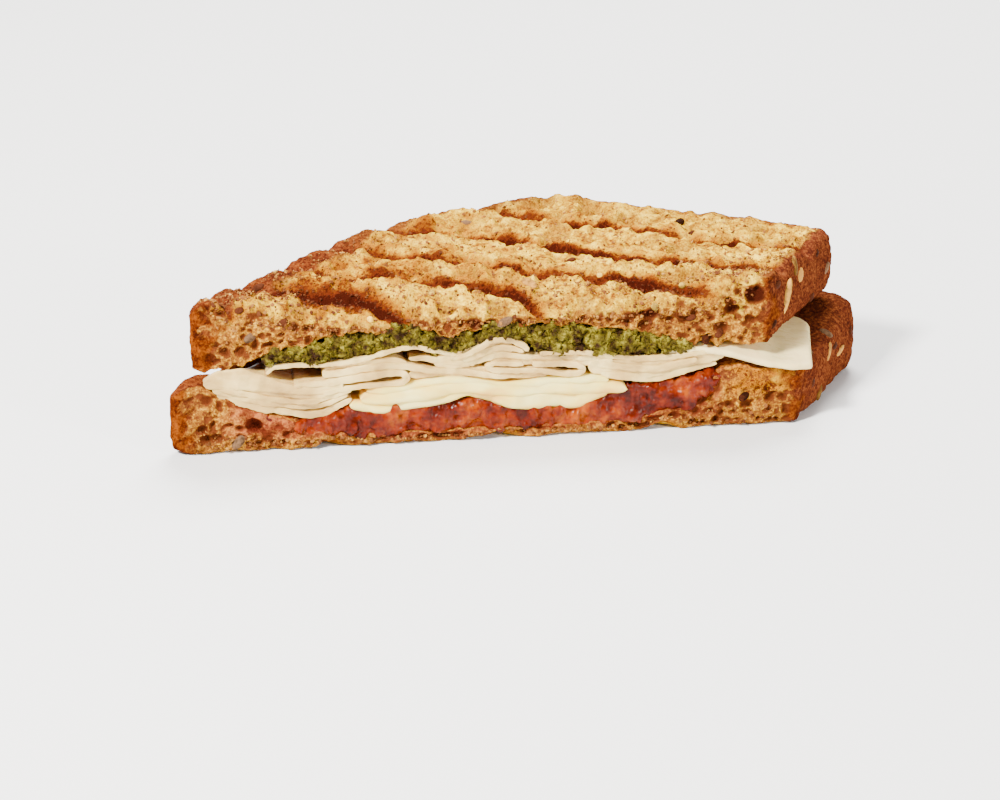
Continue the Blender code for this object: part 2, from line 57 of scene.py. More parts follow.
camera = bpy.data.objects.new("camera", bpy.data.cameras.new("camera"))
camera.location = CAMERA_PLACE
camera.rotation_euler = [math.radians(turn) for turn in CAMERA_TURN]
camera.data.lens = LENS_MM
camera.data.sensor_width = 36
camera.data.clip_start = 0.01
bpy.context.scene.collection.objects.link(camera)
bpy.context.scene.camera = camera

for light_name, (place, size, power, tint) in LIGHTS.items():
    lamp = bpy.data.lights.new(light_name, "AREA")
    lamp.shape = "DISK"
    lamp.size = size
    lamp.energy = power
    lamp.color = tint
    holder = bpy.data.objects.new(light_name, lamp)
    holder.location = place
    holder.rotation_euler = (Vector(place) - Vector(LAMPS_AIM)).to_track_quat("Z", "Y").to_euler()
    bpy.context.scene.collection.objects.link(holder)

sky = bpy.data.worlds.new("sky")
sky.use_nodes = True
backdrop = sky.node_tree.nodes["Background"].inputs
backdrop["Color"].default_value = SKY
backdrop["Strength"].default_value = SKY_STRENGTH
bpy.context.scene.world = sky

floor_mesh = bpy.data.meshes.new("floor")
floor_mesh.from_pydata(FLOOR_CORNERS, [], [(0, 1, 2, 3)])
floor = bpy.data.objects.new("floor", floor_mesh)
bpy.context.scene.collection.objects.link(floor)
floor_paper = bpy.data.materials.new("floor paper")
floor_paper.use_nodes = True
paper = floor_paper.node_tree.nodes["Principled BSDF"].inputs
paper["Base Color"].default_value = FLOOR_TINT
paper["Roughness"].default_value = 0.9
floor_mesh.materials.append(floor_paper)


# Lower bread slice: multigrain bread pressed on a ribbed grill. The filling has pressed its upper side
# to a dish, relish has soaked into its cut, and its underside has the grill's grooves.
# Lengths are in mm from the cut's left end: x along the cut, y into the sandwich, z up from the table.
ORIGIN = np.array((82.75, 41.35, 0.0))
MM = 0.001
LOWER_CORNERS = ((-8.0, 0.0, 2.0), (50, 63, 60), (103, 85, 16), (175, 41.5, 11), (148.5, 0.0, 2.5))
GROOVE_TURN = math.radians(-28)
GROOVE_SPACING = 19.2
FIRST_GROOVE = 16.0
GROOVE_HALF_WIDTH = 3.0
STATIONS = 384
WALL_ROWS = 40
ARC_ROWS = 7
CUT, OVER, CRUST_SIDE, UNDER = range(4)


def smooth(value, low, high):
    """0 below low, 1 above high, and 3t^2 - 2t^3 between them."""
    t = np.clip((value - low) / (high - low), 0, 1)
    return t * t * (3 - 2 * t)


def band(value, start, end, rise, fall):
    """1 between start and end, risen from 0 over rise and fallen to 0 over fall inside them."""
    return smooth(value, start, start + rise) * (1 - smooth(value, end - fall, end))


def hashed(cells, seed):
    """A repeatable number 0..1 for each cell: its three indices times large primes, mixed by shifts."""
    cells = cells.astype(np.int64)
    mixed = cells[..., 0] * 73856093 ^ cells[..., 1] * 19349663 ^ cells[..., 2] * 83492791 ^ seed * 26544357
    mixed = (mixed ^ (mixed >> 13)) * 1274126177 & 0xFFFFFFFF
    mixed = (mixed ^ (mixed >> 15)) * 2246822519 & 0xFFFFFFFF
    return ((mixed ^ (mixed >> 16)) & 0xFFFFFF) / 0xFFFFFF


def lumps(points, size, seed):
    """Random values -1..1 at the corners of a lattice of this size, blended smoothly between them."""
    cell = points / size
    low = np.floor(cell)
    share = cell - low
    share = share * share * (3 - 2 * share)
    total = np.zeros(points.shape[:-1])
    for corner in range(8):
        step = np.array((corner & 1, corner >> 1 & 1, corner >> 2))
        weight = np.prod(np.where(step, share, 1 - share), axis=-1)
        total += weight * hashed(low + step, seed)
    return total * 2 - 1


def rough(points, size, octaves, seed):
    """Sum of lumps, each octave half the size and 0.55 of the height of the one before."""
    return sum(0.55 ** k * lumps(points, size / 2 ** k, seed + 7 * k) for k in range(octaves))


def bubbles(points, size, share, seed):
    """Depth of round pores: a cell of this size holds one with chance share, its radius 0.25 to 0.6 cells,
    and a point lies as deep as the deepest pore round it, sqrt(radius^2 - distance^2)."""
    cell = points / size
    low = np.floor(cell)
    deepest = np.zeros(points.shape[:-1])
    for step in np.ndindex(3, 3, 3):
        here = low + np.array(step) - 1
        middle = here + np.stack([0.5 + 0.7 * (hashed(here, seed + k) - 0.5) for k in (1, 2, 3)], axis=-1)
        radius = (0.28 + 0.32 * hashed(here, seed + 4)) * (hashed(here, seed + 5) < share)
        inside = radius ** 2 - ((cell - middle) ** 2).sum(axis=-1)
        deepest = np.maximum(deepest, np.sqrt(np.maximum(inside, 0)))
    return deepest * size


def rounded_corners(corners, step):
    """The arcs round a slice, one for each corner: it has the corner's radius and meets both sides, and is
    sampled every step mm between its first and last point, weighted by the sines of the angles to them."""
    arcs = []
    count = len(corners)
    for k, (x, y, radius) in enumerate(corners):
        here = np.array((x, y), float)
        back = np.array(corners[k - 1][:2], float) - here
        ahead = np.array(corners[(k + 1) % count][:2], float) - here
        back_length, ahead_length = np.linalg.norm(back), np.linalg.norm(ahead)
        back, ahead = back / back_length, ahead / ahead_length
        half = math.acos(np.clip(back @ ahead, -1, 1)) / 2
        reach = min(radius / math.tan(half), 0.48 * min(back_length, ahead_length))
        radius = reach * math.tan(half)
        middle = here + (back + ahead) / np.linalg.norm(back + ahead) * radius / math.sin(half)
        first, last = here + back * reach - middle, here + ahead * reach - middle
        sweep = math.pi - 2 * half
        turn = np.linspace(0, 1, max(4, int(radius * sweep / step)))[:, None]
        arc = np.sin((1 - turn) * sweep) * first + np.sin(turn * sweep) * last
        arcs.append(middle + arc / math.sin(sweep))
    return arcs


def crust_and_cut(corners):
    """The crust as a line from the cut's left end round the back to its right end, one point for each
    station, with its outward normals, and the x of the same stations along the cut."""
    crust = np.concatenate(rounded_corners(corners, 0.3))
    length = np.concatenate([[0], np.cumsum(np.linalg.norm(np.diff(crust, axis=0), axis=1))])
    wanted = np.linspace(0, length[-1], STATIONS)
    line = np.stack([np.interp(wanted, length, crust[:, k]) for k in (0, 1)], axis=1)
    along = np.gradient(line, axis=0)
    along /= np.linalg.norm(along, axis=1)[:, None]
    normals = np.stack([-along[:, 1], along[:, 0]], axis=1)
    cut_x = np.linspace(line[0, 0], line[-1, 0], STATIONS)
    return line, normals, cut_x


FILLING_OUTLINE = ((0, 0), (53, 60.5), (99, 78.5), (165.5, 38.2), (138, 0))


def crust_distance(x, y, corners=FILLING_OUTLINE):
    """Distance from a point to the nearest straight side of the crust, the cut left out."""
    nearest = np.full(np.shape(x), 1e9)
    for (ax, ay), (bx, by) in zip(corners, corners[1:]):
        length_2 = (bx - ax) ** 2 + (by - ay) ** 2
        share = np.clip(((x - ax) * (bx - ax) + (y - ay) * (by - ay)) / length_2, 0, 1)
        nearest = np.minimum(nearest, np.hypot(x - ax - share * (bx - ax), y - ay - share * (by - ay)))
    return nearest


def groove_place(x, y):
    """Distance across the grill's grooves, and the distance from the middle of the nearest groove."""
    across = -x * math.sin(GROOVE_TURN) + y * math.cos(GROOVE_TURN)
    off = np.abs((across - FIRST_GROOVE + GROOVE_SPACING / 2) % GROOVE_SPACING - GROOVE_SPACING / 2)
    return across, off


def groove_share(x, y, drift):
    """1 in the middle of a groove and 0 outside it; drift moves the grooves' edges to and fro."""
    return smooth(GROOVE_HALF_WIDTH - groove_place(x, y)[1] + drift, 0, GROOVE_HALF_WIDTH)


def flat(x, y):
    """Plan points as x, y, 0."""
    return np.stack([x, y, np.zeros_like(x)], axis=-1)


CUT_FLOOR = ((-8, 18), (1, 17.6), (4, 16.6), (7, 14.6), (11, 12.0), (16, 10.0), (22, 8.0), (28, 6.4),
             (34, 5.0), (45, 3.6), (60, 3.2), (90, 3.2), (104, 3.8), (112, 4.6), (118, 6.4), (122, 8.8),
             (126, 12.6), (129, 15.4), (134, 16.4), (138, 15.8), (142, 15.0), (150, 14.6))
CUT_CEILING = ((-3, 21.2), (3, 20.9), (9, 21.5), (13, 23.0), (18, 24.4), (23, 25.8), (28, 26.8),
               (32, 27.4), (36, 28.8), (43, 28.8), (48, 28.6), (52, 29.6), (56, 28.6), (60, 27.0),
               (64, 27.0), (70, 28.3), (74, 29.0), (86, 28.6), (93, 28.2), (98, 27.4), (103, 26.6),
               (107, 25.5), (112, 24.8), (117, 23.9), (121, 22.4), (126, 21.7), (141, 21.6))


def carried_in(x, y, rim, cut_line):
    """A height set at the cut by cut_line and at the crust by rim, carried in between them as the slices
    are pressed: full depth up to where the crust is as near as it is at the cut, and none at the crust."""
    near = smooth(crust_distance(x, 0 * y), 0, 24)
    here = smooth(crust_distance(x, y), 0, 24)
    places, heights = np.array(cut_line, float).T
    return rim + (np.interp(x, places, heights) - rim) * np.minimum(1, here / np.maximum(near, 0.02))


def floor_height(x, y):
    """Upper side of the lower slice: its rim, pressed to a dish by the filling."""
    rim = 18 - 3 * smooth(x, 20, 110) + 4.5 * smooth(y, 12, 35)
    tip = 4.5 * (1 - smooth(x, -8, 1)) ** 2
    return carried_in(x, y, rim, CUT_FLOOR) - tip + 0.25 * lumps(flat(x, y), 5, 11)


def ceiling_height(x, y):
    """Underside of the upper slice: flat at the rim and domed over the filling."""
    tip = 1.5 * (1 - smooth(x, -3, 2)) ** 2
    return carried_in(x, y, 22.0 + 0 * x, CUT_CEILING) + tip + 0.3 * lumps(flat(x, y), 4, 12)


def underside(x, y):
    """Underside of the lower slice: the table, with the grill's grooves pressed up into it."""
    tip = 1.2 * (1 - smooth(x, -8, -2)) ** 2
    groove = 1.6 * groove_share(x, y, 0.6 * lumps(flat(x, y), 6, 13))
    return groove + tip + 0.35 + 0.3 * lumps(flat(x, y), 4, 14)


def loaf_slice(corners, over, under, rounds, across_rows, under_rows):
    """A closed shell round a slice. One section for each station, from a point of the cut straight to a
    point of the crust: up the cut, back over the top, down the crust and forward underneath, with a round
    of its own radius at each of the four edges. Gives the points, the directions in which they are pushed
    in or out, and for each row how much it is cut, upper face, crust or underside."""
    line, normals, cut_x = crust_and_cut(corners)
    ones = np.ones(STATIONS)
    cut = np.stack([cut_x, 0 * ones], axis=1)
    front = np.stack([0 * ones, -ones], axis=1)
    reach = np.linalg.norm(line - cut, axis=1)
    room = np.clip(reach / 14, 0, 1)
    over_front, over_back, under_back, under_front = [radius * room for radius in rounds]
    quarter = np.linspace(0, 1, ARC_ROWS + 2)[1:-1] * math.pi / 2
    rows = []

    def wall(place, outward, low_round, high_round, rising, kind):
        top = over(place[:, 0], place[:, 1])
        bottom = under(place[:, 0], place[:, 1])
        shares = np.linspace(0, 1, WALL_ROWS)
        for share in shares if rising else shares[::-1]:
            z = bottom + low_round + (top - high_round - bottom - low_round) * share
            rows.append((place[:, 0], place[:, 1], z, outward[:, 0], outward[:, 1], 0 * z, kind))

    def arc(place, outward, radius, level, upper, leaving, kinds):
        for angle in quarter if leaving else quarter[::-1]:
            inset = radius * (1 - math.cos(angle))
            lift = radius * (1 - math.sin(angle)) * (-1 if upper else 1)
            x, y = place[:, 0] - outward[:, 0] * inset, place[:, 1] - outward[:, 1] * inset
            rise = math.sin(angle) * (1 if upper else -1)
            share = angle / (math.pi / 2)
            kind = tuple(a * (1 - share) + b * share for a, b in zip(*kinds))
            rows.append((x, y, level(x, y) + lift, outward[:, 0] * math.cos(angle),
                         outward[:, 1] * math.cos(angle), rise * ones, kind))

    def face(start, end, level, count, rise, kind):
        for share in np.linspace(0, 1, count):
            place = start + (end - start) * share
            rows.append((place[:, 0], place[:, 1], level(place[:, 0], place[:, 1]),
                         0 * ones, 0 * ones, rise * ones, kind))

    is_cut, is_over, is_crust, is_under = np.eye(4)
    wall(cut, front, under_front, over_front, True, is_cut)
    arc(cut, front, over_front, over, True, True, (is_cut, is_over))
    face(cut - front * over_front[:, None], line - normals * over_back[:, None],
         over, across_rows, 1, is_over)
    arc(line, normals, over_back, over, True, False, (is_crust, is_over))
    wall(line, normals, under_back, over_back, False, is_crust)
    arc(line, normals, under_back, under, False, True, (is_crust, is_under))
    face(line - normals * under_back[:, None], cut - front * under_front[:, None],
         under, under_rows, -1, is_under)
    arc(cut, front, under_front, under, False, False, (is_cut, is_under))
    points = np.stack([np.stack(row[:3], axis=-1) for row in rows], axis=1)
    pushes = np.stack([np.stack(row[3:6], axis=-1) for row in rows], axis=1)
    kinds = np.array([row[6] for row in rows])
    return points, pushes, kinds


def ring_faces(count, ring):
    """Quads of a grid of count rings, each closed on itself, wound outwards."""
    at = np.arange(count * ring).reshape(count, ring)
    onward = np.roll(at, -1, axis=1)
    return np.stack([at[:-1], at[1:], onward[1:], onward[:-1]], axis=-1).reshape(-1, 4)


def piece_from(name, points, faces, material, attributes=None, weld=False):
    """A smooth shaded object from points in mm, with its place in its mesh. Points that coincide are merged
    where weld is true, which closes end rings that are drawn together."""
    mesh = bpy.data.meshes.new(name)
    mesh.vertices.add(len(points))
    mesh.vertices.foreach_set("co", ((points - ORIGIN) * MM).ravel())
    size = faces.shape[1]
    mesh.loops.add(faces.size)
    mesh.loops.foreach_set("vertex_index", faces.ravel().astype(np.int32))
    mesh.polygons.add(len(faces))
    mesh.polygons.foreach_set("loop_start", np.arange(0, faces.size, size, dtype=np.int32))
    mesh.polygons.foreach_set("loop_total", np.full(len(faces), size, dtype=np.int32))
    mesh.update(calc_edges=True)
    for label, values in (attributes or {}).items():
        mark = mesh.attributes.new(label, "FLOAT", "POINT")
        mark.data.foreach_set("value", values.ravel().astype(np.float32))
    if weld:
        shape = bmesh.new()
        shape.from_mesh(mesh)
        bmesh.ops.remove_doubles(shape, verts=shape.verts, dist=2e-6)
        shape.to_mesh(mesh)
        shape.free()
    mesh.validate()
    mesh.shade_smooth()
    mesh.materials.append(material)
    piece = bpy.data.objects.new(name, mesh)
    bpy.context.scene.collection.objects.link(piece)
    return piece


class Flow:
    """A socket of a material in an expression: its operators add Math nodes, and node() adds any other."""

    def __init__(self, tree, socket=None):
        self.tree = tree
        self.socket = socket

    def node(self, kind, settings=None, inputs=None, output=0):
        """Adds one node, its settings first and then its sockets' values or links, and gives one output."""
        made = self.tree.nodes.new("ShaderNode" + kind)
        for label, value in (settings or {}).items():
            if label == "stops":
                for _ in value[2:]:
                    made.color_ramp.elements.new(1.0)
                for stop, (place, colour) in zip(made.color_ramp.elements, value):
                    stop.position = place
                    stop.color = colour
            else:
                setattr(made, label, value)
        for label, value in (inputs or {}).items():
            if isinstance(value, Flow):
                self.tree.links.new(value.socket, made.inputs[label])
            else:
                made.inputs[label].default_value = value
        return Flow(self.tree, made.outputs[output] if made.outputs else None)

    def math(self, operation, *values):
        return self.node("Math", {"operation": operation}, dict(enumerate(values)))

    def __add__(self, other):
        return self.math("ADD", self, other)

    def __sub__(self, other):
        return self.math("SUBTRACT", self, other)

    def __rsub__(self, other):
        return self.math("SUBTRACT", other, self)

    def __mul__(self, other):
        return self.math("MULTIPLY", self, other)

    __radd__ = __add__
    __rmul__ = __mul__

    def between(self, low, high):
        """0 where this is below low, 1 above high, and an even climb between."""
        return self.node("MapRange", {}, {"Value": self, "From Min": low, "From Max": high})

    def to(self, colour, share):
        """This colour, mixed towards another by a share."""
        return self.node("Mix", {"data_type": "RGBA"}, {0: share, 6: self, 7: colour}, 2)

    def ramp(self, *stops):
        """The colour at this place between the stops, each a place and a colour."""
        return self.node("ValToRGB", {"stops": stops}, {"Fac": self})

    def noise(self, size_mm, detail=3.0, roughness=0.55, stretch=(1, 1, 1)):
        """Noise 0..1 on Object coordinates: 700 / size periods in a metre give lumps of about that size."""
        place = self.node("TexCoord", output=3)
        place = self.node("Mapping", {}, {"Vector": place, "Scale": stretch})
        return self.node("TexNoise", {}, {"Vector": place, "Scale": 700 / size_mm, "Detail": detail,
                                          "Roughness": roughness})

    def cells(self, size_mm):
        """Distance 0..1 from the middle of the nearest of random cells of this size."""
        place = self.node("TexCoord", output=3)
        return self.node("TexVoronoi", {}, {"Vector": place, "Scale": 1000 / size_mm})

    def attribute(self, label):
        return self.node("Attribute", {"attribute_name": label}, output=2)


def new_material(name):
    """An empty material and a Flow on its nodes."""
    material = bpy.data.materials.new(name)
    material.use_nodes = True
    material.node_tree.nodes.clear()
    return material, Flow(material.node_tree)


def finish_material(flow, colour, roughness, height, depth_mm, **shader):
    """Ends a material in a Principled shader with a bump; constants go straight on its sockets."""
    bump = flow.node("Bump", {}, {"Height": height, "Distance": depth_mm * MM, "Strength": 1.0})
    sockets = {"Base Color": colour, "Roughness": roughness, "Normal": bump}
    sockets.update({label.replace("_", " "): value for label, value in shader.items()})
    surface = flow.node("BsdfPrincipled", {"subsurface_method": "RANDOM_WALK"}, sockets)
    flow.node("OutputMaterial", {}, {"Surface": surface})


BREAD_MARKS = ("toast", "char", "crust", "tip", "pore", "red_soak", "green_soak", "hollow")
CRUMB_SHADE = (0.075, 0.0185, 0.007, 1)
CRUMB_TONES = ((0.41, CRUMB_SHADE), (0.47, (0.165, 0.050, 0.011, 1)), (0.53, (0.30, 0.115, 0.0097, 1)),
               (0.6, (0.66, 0.335, 0.034, 1)))
# Painted shade for the pores: their sides and their deep middles are coloured darker, as shade falls in
# them.
PAINTED_PORE_SIDE_SHADE = (0.122, 0.0295, 0.0076, 1)
PAINTED_PORE_SHADE = (0.038, 0.007, 0.003, 1)
TOAST_TONES = ((0.38, (0.15, 0.034, 0.006, 1)), (0.44, (0.36, 0.150, 0.0055, 1)),
               (0.51, (0.63, 0.35, 0.0085, 1)), (0.59, (0.95, 0.64, 0.062, 1)))
# Painted shade for the toasted face's dimples and low spots.
DIMPLE_SHADE_TONES = ((0.42, (0.18, 0.060, 0.006, 1)), (0.58, (0.40, 0.19, 0.014, 1)))
BROWNED_TONES = ((0.42, (0.13, 0.022, 0.002, 1)), (0.49, (0.27, 0.073, 0.001, 1)),
                 (0.58, (0.55, 0.225, 0.003, 1)))
GROOVE = (0.085, 0.0125, 0.0045, 1)
BURNT = (0.028, 0.004, 0.0022, 1)
CRUST_TONES = ((0.41, (0.045, 0.009, 0.005, 1)), (0.5, (0.1, 0.021, 0.0085, 1)),
               (0.59, (0.215, 0.06, 0.0165, 1)))
SCORCH_TONES = ((0.42, (0.03, 0.005, 0.002, 1)), (0.49, (0.087, 0.0148, 0.002, 1)),
                (0.58, (0.21, 0.05, 0.0035, 1)))
BRAN = (0.05, 0.014, 0.006, 1)
# The darkest soak colour, also used as painted shade in the soaked pores.
SOAK_DEEP_AND_PORE_SHADE = (0.09, 0.013, 0.005, 1)
SOAK_TONES = ((0.41, SOAK_DEEP_AND_PORE_SHADE), (0.49, (0.20, 0.042, 0.015, 1)), (0.57, (0.44, 0.13, 0.034, 1)))
GREEN_SOAK = (0.1, 0.078, 0.006, 1)


def bread_material():
    """Bread, from its attributes: crumb with painted shade in its pores, then toast with painted shade in
    its dimples, browned and charred where it met the grill, brown crust, bran here and there, and what the
    relish and the pesto have soaked. Its colours also follow the bump: painted shade low, painted light
    high."""
    material, flow = new_material("grilled multigrain bread")
    marks = [flow.attribute(mark) for mark in BREAD_MARKS]
    toast, char, crust, tip, pore, red_soak, green_soak, hollow = marks
    fine = flow.noise(0.75, 4, 0.7)
    wide = flow.noise(5, 3)
    grit = flow.noise(0.36, 2, 0.6)
    # tone is also the bump's height below, so the colours drawn from it are darker in the grain's low spots
    # and paler on its high ones: painted shade and painted light, over the grain's own uneven tone.
    tone = fine * 0.5 + grit * 0.35 + wide * 0.15
    crumb = (tone * 0.7 + (1 - pore.between(0.0, 0.2)) * 0.05 + 0.125).ramp(*CRUMB_TONES)
    golden = (fine * 0.36 + grit * 0.2 + flow.noise(2.6, 2) * 0.44).ramp(*TOAST_TONES)
    # Painted shade: the toast turns darker in its dimples.
    golden = golden.to(tone.ramp(*DIMPLE_SHADE_TONES), hollow * 0.8)
    colour = crumb.to(golden, toast)
    # Painted shade in the pores: the deeper a point lies in a pore, the darker its colour.
    colour = colour.to(PAINTED_PORE_SIDE_SHADE, pore.between(0.12, 0.42) * 0.97).to(PAINTED_PORE_SHADE, pore.between(0.5, 0.95))
    uneven = (fine - 0.5) * 1.9 + (grit - 0.5) * 0.8 + (wide - 0.5) * 0.6
    burnt = char + uneven * char.between(0.0, 0.2)
    colour = colour.to(tone.ramp(*BROWNED_TONES), burnt.between(0.24, 0.42) * 0.9)
    colour = colour.to(GROOVE, burnt.between(0.52, 0.66) * 0.95)
    colour = colour.to(BURNT, burnt.between(0.84, 1.02) * 0.9)
    scorched = (tone * 0.6 + flow.noise(2.6, 2) * 0.4).ramp(*SCORCH_TONES)
    # Scorched crust gets painted shade in its pores as well.
    scorched = scorched.to(PAINTED_PORE_SHADE, pore.between(0.3, 0.9) * 0.8)
    colour = colour.to(tone.ramp(*CRUST_TONES).to(scorched, tip), crust)
    bran = (1 - flow.cells(3.4).between(0.1, 0.17)) * flow.noise(6, 1).between(0.5, 0.6)
    colour = colour.to(BRAN, bran * 0.8)
    soaked = (tone * 0.5 + flow.noise(2.6, 4, 0.6) * 0.5).ramp(*SOAK_TONES)
    colour = colour.to(soaked.to(SOAK_DEEP_AND_PORE_SHADE, pore.between(0.15, 0.8)), red_soak).to(GREEN_SOAK, green_soak)
    finish_material(flow, colour, 0.85, tone * (1 - crust * 0.5), 1.1, Specular_IOR_Level=0.0)
    return material


bread = bread_material()


def bake_marks(points, kinds, outer, corners, right_end, toasted_top=None):
    """Masks 0..1 of toasted face, crust, scorched crust and bare crumb. Each is a smooth step of a distance
    from one of the slice's edges, made ragged by lumps. The kind numbered outer is the grilled face, and
    toasted_top its height where its toast shows in the cut as well."""
    x, y, z = np.moveaxis(points, -1, 0)
    is_cut, is_over, is_crust, is_under = [np.broadcast_to(kinds[:, kind], x.shape) for kind in range(4)]
    left_end = x.min()
    ragged = rough(points, 4.0, 4, 21)
    toast_cut = 0 if toasted_top is None else 1 - smooth(toasted_top(x, y) - z + 1.8 * ragged, 1.0, 3.0)
    from_cut = smooth(y, 0.6, 4) if outer == UNDER else 1
    toast = np.clip(kinds[:, outer] * from_cut + is_cut * toast_cut, 0, 1)
    end = np.minimum(x - left_end, 1.8 * (right_end - x) + 2.4)
    wall = is_cut * (1 - smooth(end + 4.0 * ragged, 1.8, 7.0))
    from_crust = crust_distance(x, y, [corner[:2] for corner in corners])
    bare_rim = 11 * is_over if outer == UNDER else 0
    rim_width = 3.6 + 5.5 * smooth(75 - x, 0, 35) + 1.8 * ragged + bare_rim
    rim = smooth(rim_width - from_crust, 0, 2.4) * (is_over + is_under)
    golden = 0.8 * is_cut * smooth(x, right_end - 16, right_end - 3)
    toast = np.maximum(toast, golden * smooth(rough(points, 6, 3, 22), -0.15, 0.3))
    torn = is_crust * (1 - smooth(y - 1.0 + 2.6 * ragged, 0, 2.0)) * smooth(x, 90, 110)
    rim_crust = (0.85 + 0.15 * smooth(x, 138, 150) + 0.15 * smooth(60 - x, 0, 30)) * rim
    crust = np.clip(is_crust + wall + rim_crust, 0, 1)
    scorched_rim = 0.4 * rim * smooth(110 - x, 0, 30)
    scorched_end = is_crust * smooth(left_end + 12 - x, 0, 10)
    tip = np.clip(wall + 0.8 * torn + scorched_rim + scorched_end, 0, 1)
    return toast * (1 - crust), crust, tip, is_cut * (1 - toast_cut) * (1 - crust)


def crumb_relief(points, seed):
    """The cut crumb's pores, bubbles of three sizes with bent borders: how deep they go in mm, and how much
    of a pore, 0..1, a point lies in, which sets the painted shade in the pores."""
    bend = np.stack([lumps(points, 2.2, seed + k) for k in (60, 61, 62)], axis=-1)
    pressed = points * (0.9, 1.0, 1.12) + 0.45 * bend
    large = bubbles(pressed, 5.2, 0.3, seed)
    middle = bubbles(pressed, 3.0, 0.8, seed + 20)
    small = bubbles(pressed, 1.7, 1.0, seed + 40)
    inside = np.maximum(0.75 * smooth(middle, 0.2, 1.2), 0.5 * smooth(small, 0.2, 0.8))
    return 0.62 * large + 0.6 * middle + 0.55 * small, np.maximum(smooth(large, 0.3, 1.9), inside)


def off_the_ends(reach):
    """0 at the two tips, where the cut's last points meet the crust's, and 1 from reach stations in."""
    stations = np.arange(STATIONS)
    return np.clip(np.minimum(stations, stations[::-1]) / reach, 0, 1)[:, None]


def wall_bulge(points, kinds, low, high):
    """How far the crust swells between its lower and upper edge, as a sine, and not at the cut's ends."""
    height = np.clip((points[..., 2] - low) / (high - low), 0, 1)
    return 1.2 * kinds[:, CRUST_SIDE] * np.sin(np.pi * height) * off_the_ends(14)


def bread_slice(name, points, *marks):
    """A slice of bread from its grid, whose two end rings are each drawn together, and its marks."""
    return piece_from(name, points.reshape(-1, 3), ring_faces(*points.shape[:2]), bread,
                      dict(zip(BREAD_MARKS, marks)), weld=True)


LOWER_ROUNDS = (0.8, 2.2, 2.4, 1.0)
LOWER_FACE_ROWS = 52, 64
LOWER_RIGHT_END = 147.0
LOWER_CRUST = 0.5, 17.5

points, pushes, kinds = loaf_slice(LOWER_CORNERS, floor_height, underside, LOWER_ROUNDS, *LOWER_FACE_ROWS)
toast, crust, tip, crumb = bake_marks(points, kinds, UNDER, LOWER_CORNERS, LOWER_RIGHT_END)
x, y, z = np.moveaxis(points, -1, 0)
calm = 1 - 0.75 * smooth(x, 122, 128) * smooth(z, 9, 13)
open_crumb = np.clip(crumb + 0.7 * tip * kinds[:, CUT], 0, 1)
# The second mask paints shade into the pores of the cut.
pits, pore_shades = [values * calm * open_crumb for values in crumb_relief(points, 31)]
lift = (0.4 * rough(points, 3.2, 3, 32) * (0.5 + 0.7 * crumb) + 0.16 * rough(points, 1.1, 2, 33)
        + 0.5 * lumps(points, 9, 36) * kinds[:, CRUST_SIDE] + 0.7 * lumps(points, 4.5, 37) * tip)
bulge = wall_bulge(points, kinds, *LOWER_CRUST)
points = points + pushes * ((lift - pits) * off_the_ends(6) + bulge)[..., None]
points[..., 2] = np.maximum(points[..., 2], 0.0)
patchy = rough(points, 7, 3, 34)
soak_low = 2.2 + 1.5 * patchy - 1.4 * band(x, 30, 125, 15, 15)
red = (band(x + 3 * patchy, 2, 132, 12, 10) * smooth(z, soak_low - 1, soak_low + 3) * (kinds[:, CUT] > 0.4)
       * (0.95 - 0.35 * smooth(x, 55, 100)))
red = np.maximum(red, 0.6 * kinds[:, OVER] * (1 - crust))
char = groove_share(x, y, 0.8 * lumps(points, 5, 35)) * kinds[:, UNDER]
char = char + 0.4 * kinds[:, CUT] * smooth(x, 127, 135) * smooth(z, 6, 11)
lower_slice = bread_slice("lower_slice", points, toast, char, crust, tip, pore_shades, red, 0 * red, 0 * red)
lower = points, pushes, char
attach(lower_slice, "root")
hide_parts("bread_bottom")


# Tomato relish: a glossy spread of cooked tomato on the lower slice, thickest at the right of the cheese.
# It is one closed lumpy layer, laid from the cut to short of the crust.
def smooth_line(knots, step, soften):
    """Knots joined by straight lines, sampled every step mm and averaged over soften mm along the line."""
    knots = np.array(knots, float)
    length = np.concatenate([[0], np.cumsum(np.linalg.norm(np.diff(knots[:, :2], axis=0), axis=1))])
    wanted = np.linspace(0, length[-1], int(length[-1] / step) + 1)
    line = np.stack([np.interp(wanted, length, knots[:, k]) for k in range(knots.shape[1])], axis=1)
    reach = max(1, int(soften / step / 2))
    weights = np.hanning(2 * reach + 3)[1:-1]
    weights = weights / weights.sum()
    before = 2 * line[0] - line[1:reach + 1][::-1]
    after = 2 * line[-1] - line[-reach - 1:-1][::-1]
    padded = np.concatenate([before, line, after])
    return np.stack([np.convolve(column, weights, "valid") for column in padded.T], axis=1)


def back_reach(x, inset):
    """How far into the sandwich a layer goes at x: to inset mm short of the crust."""
    return np.maximum(np.interp(x, (0, 53, 99, 138, 160), (0, 60.5, 78.5, 56, 40)) - inset, 1.5)


def squeezed(x, y, z):
    """Height of a point drawn at the cut when it is carried in to y: it keeps its share of the room
    between the lower slice's dish and the upper slice's dome, and never leaves it."""
    low, high = floor_height(x, 0 * y), ceiling_height(x, 0 * y)
    share = (z - low) / (high - low)
    return floor_height(x, y) + share * (ceiling_height(x, y) - floor_height(x, y))


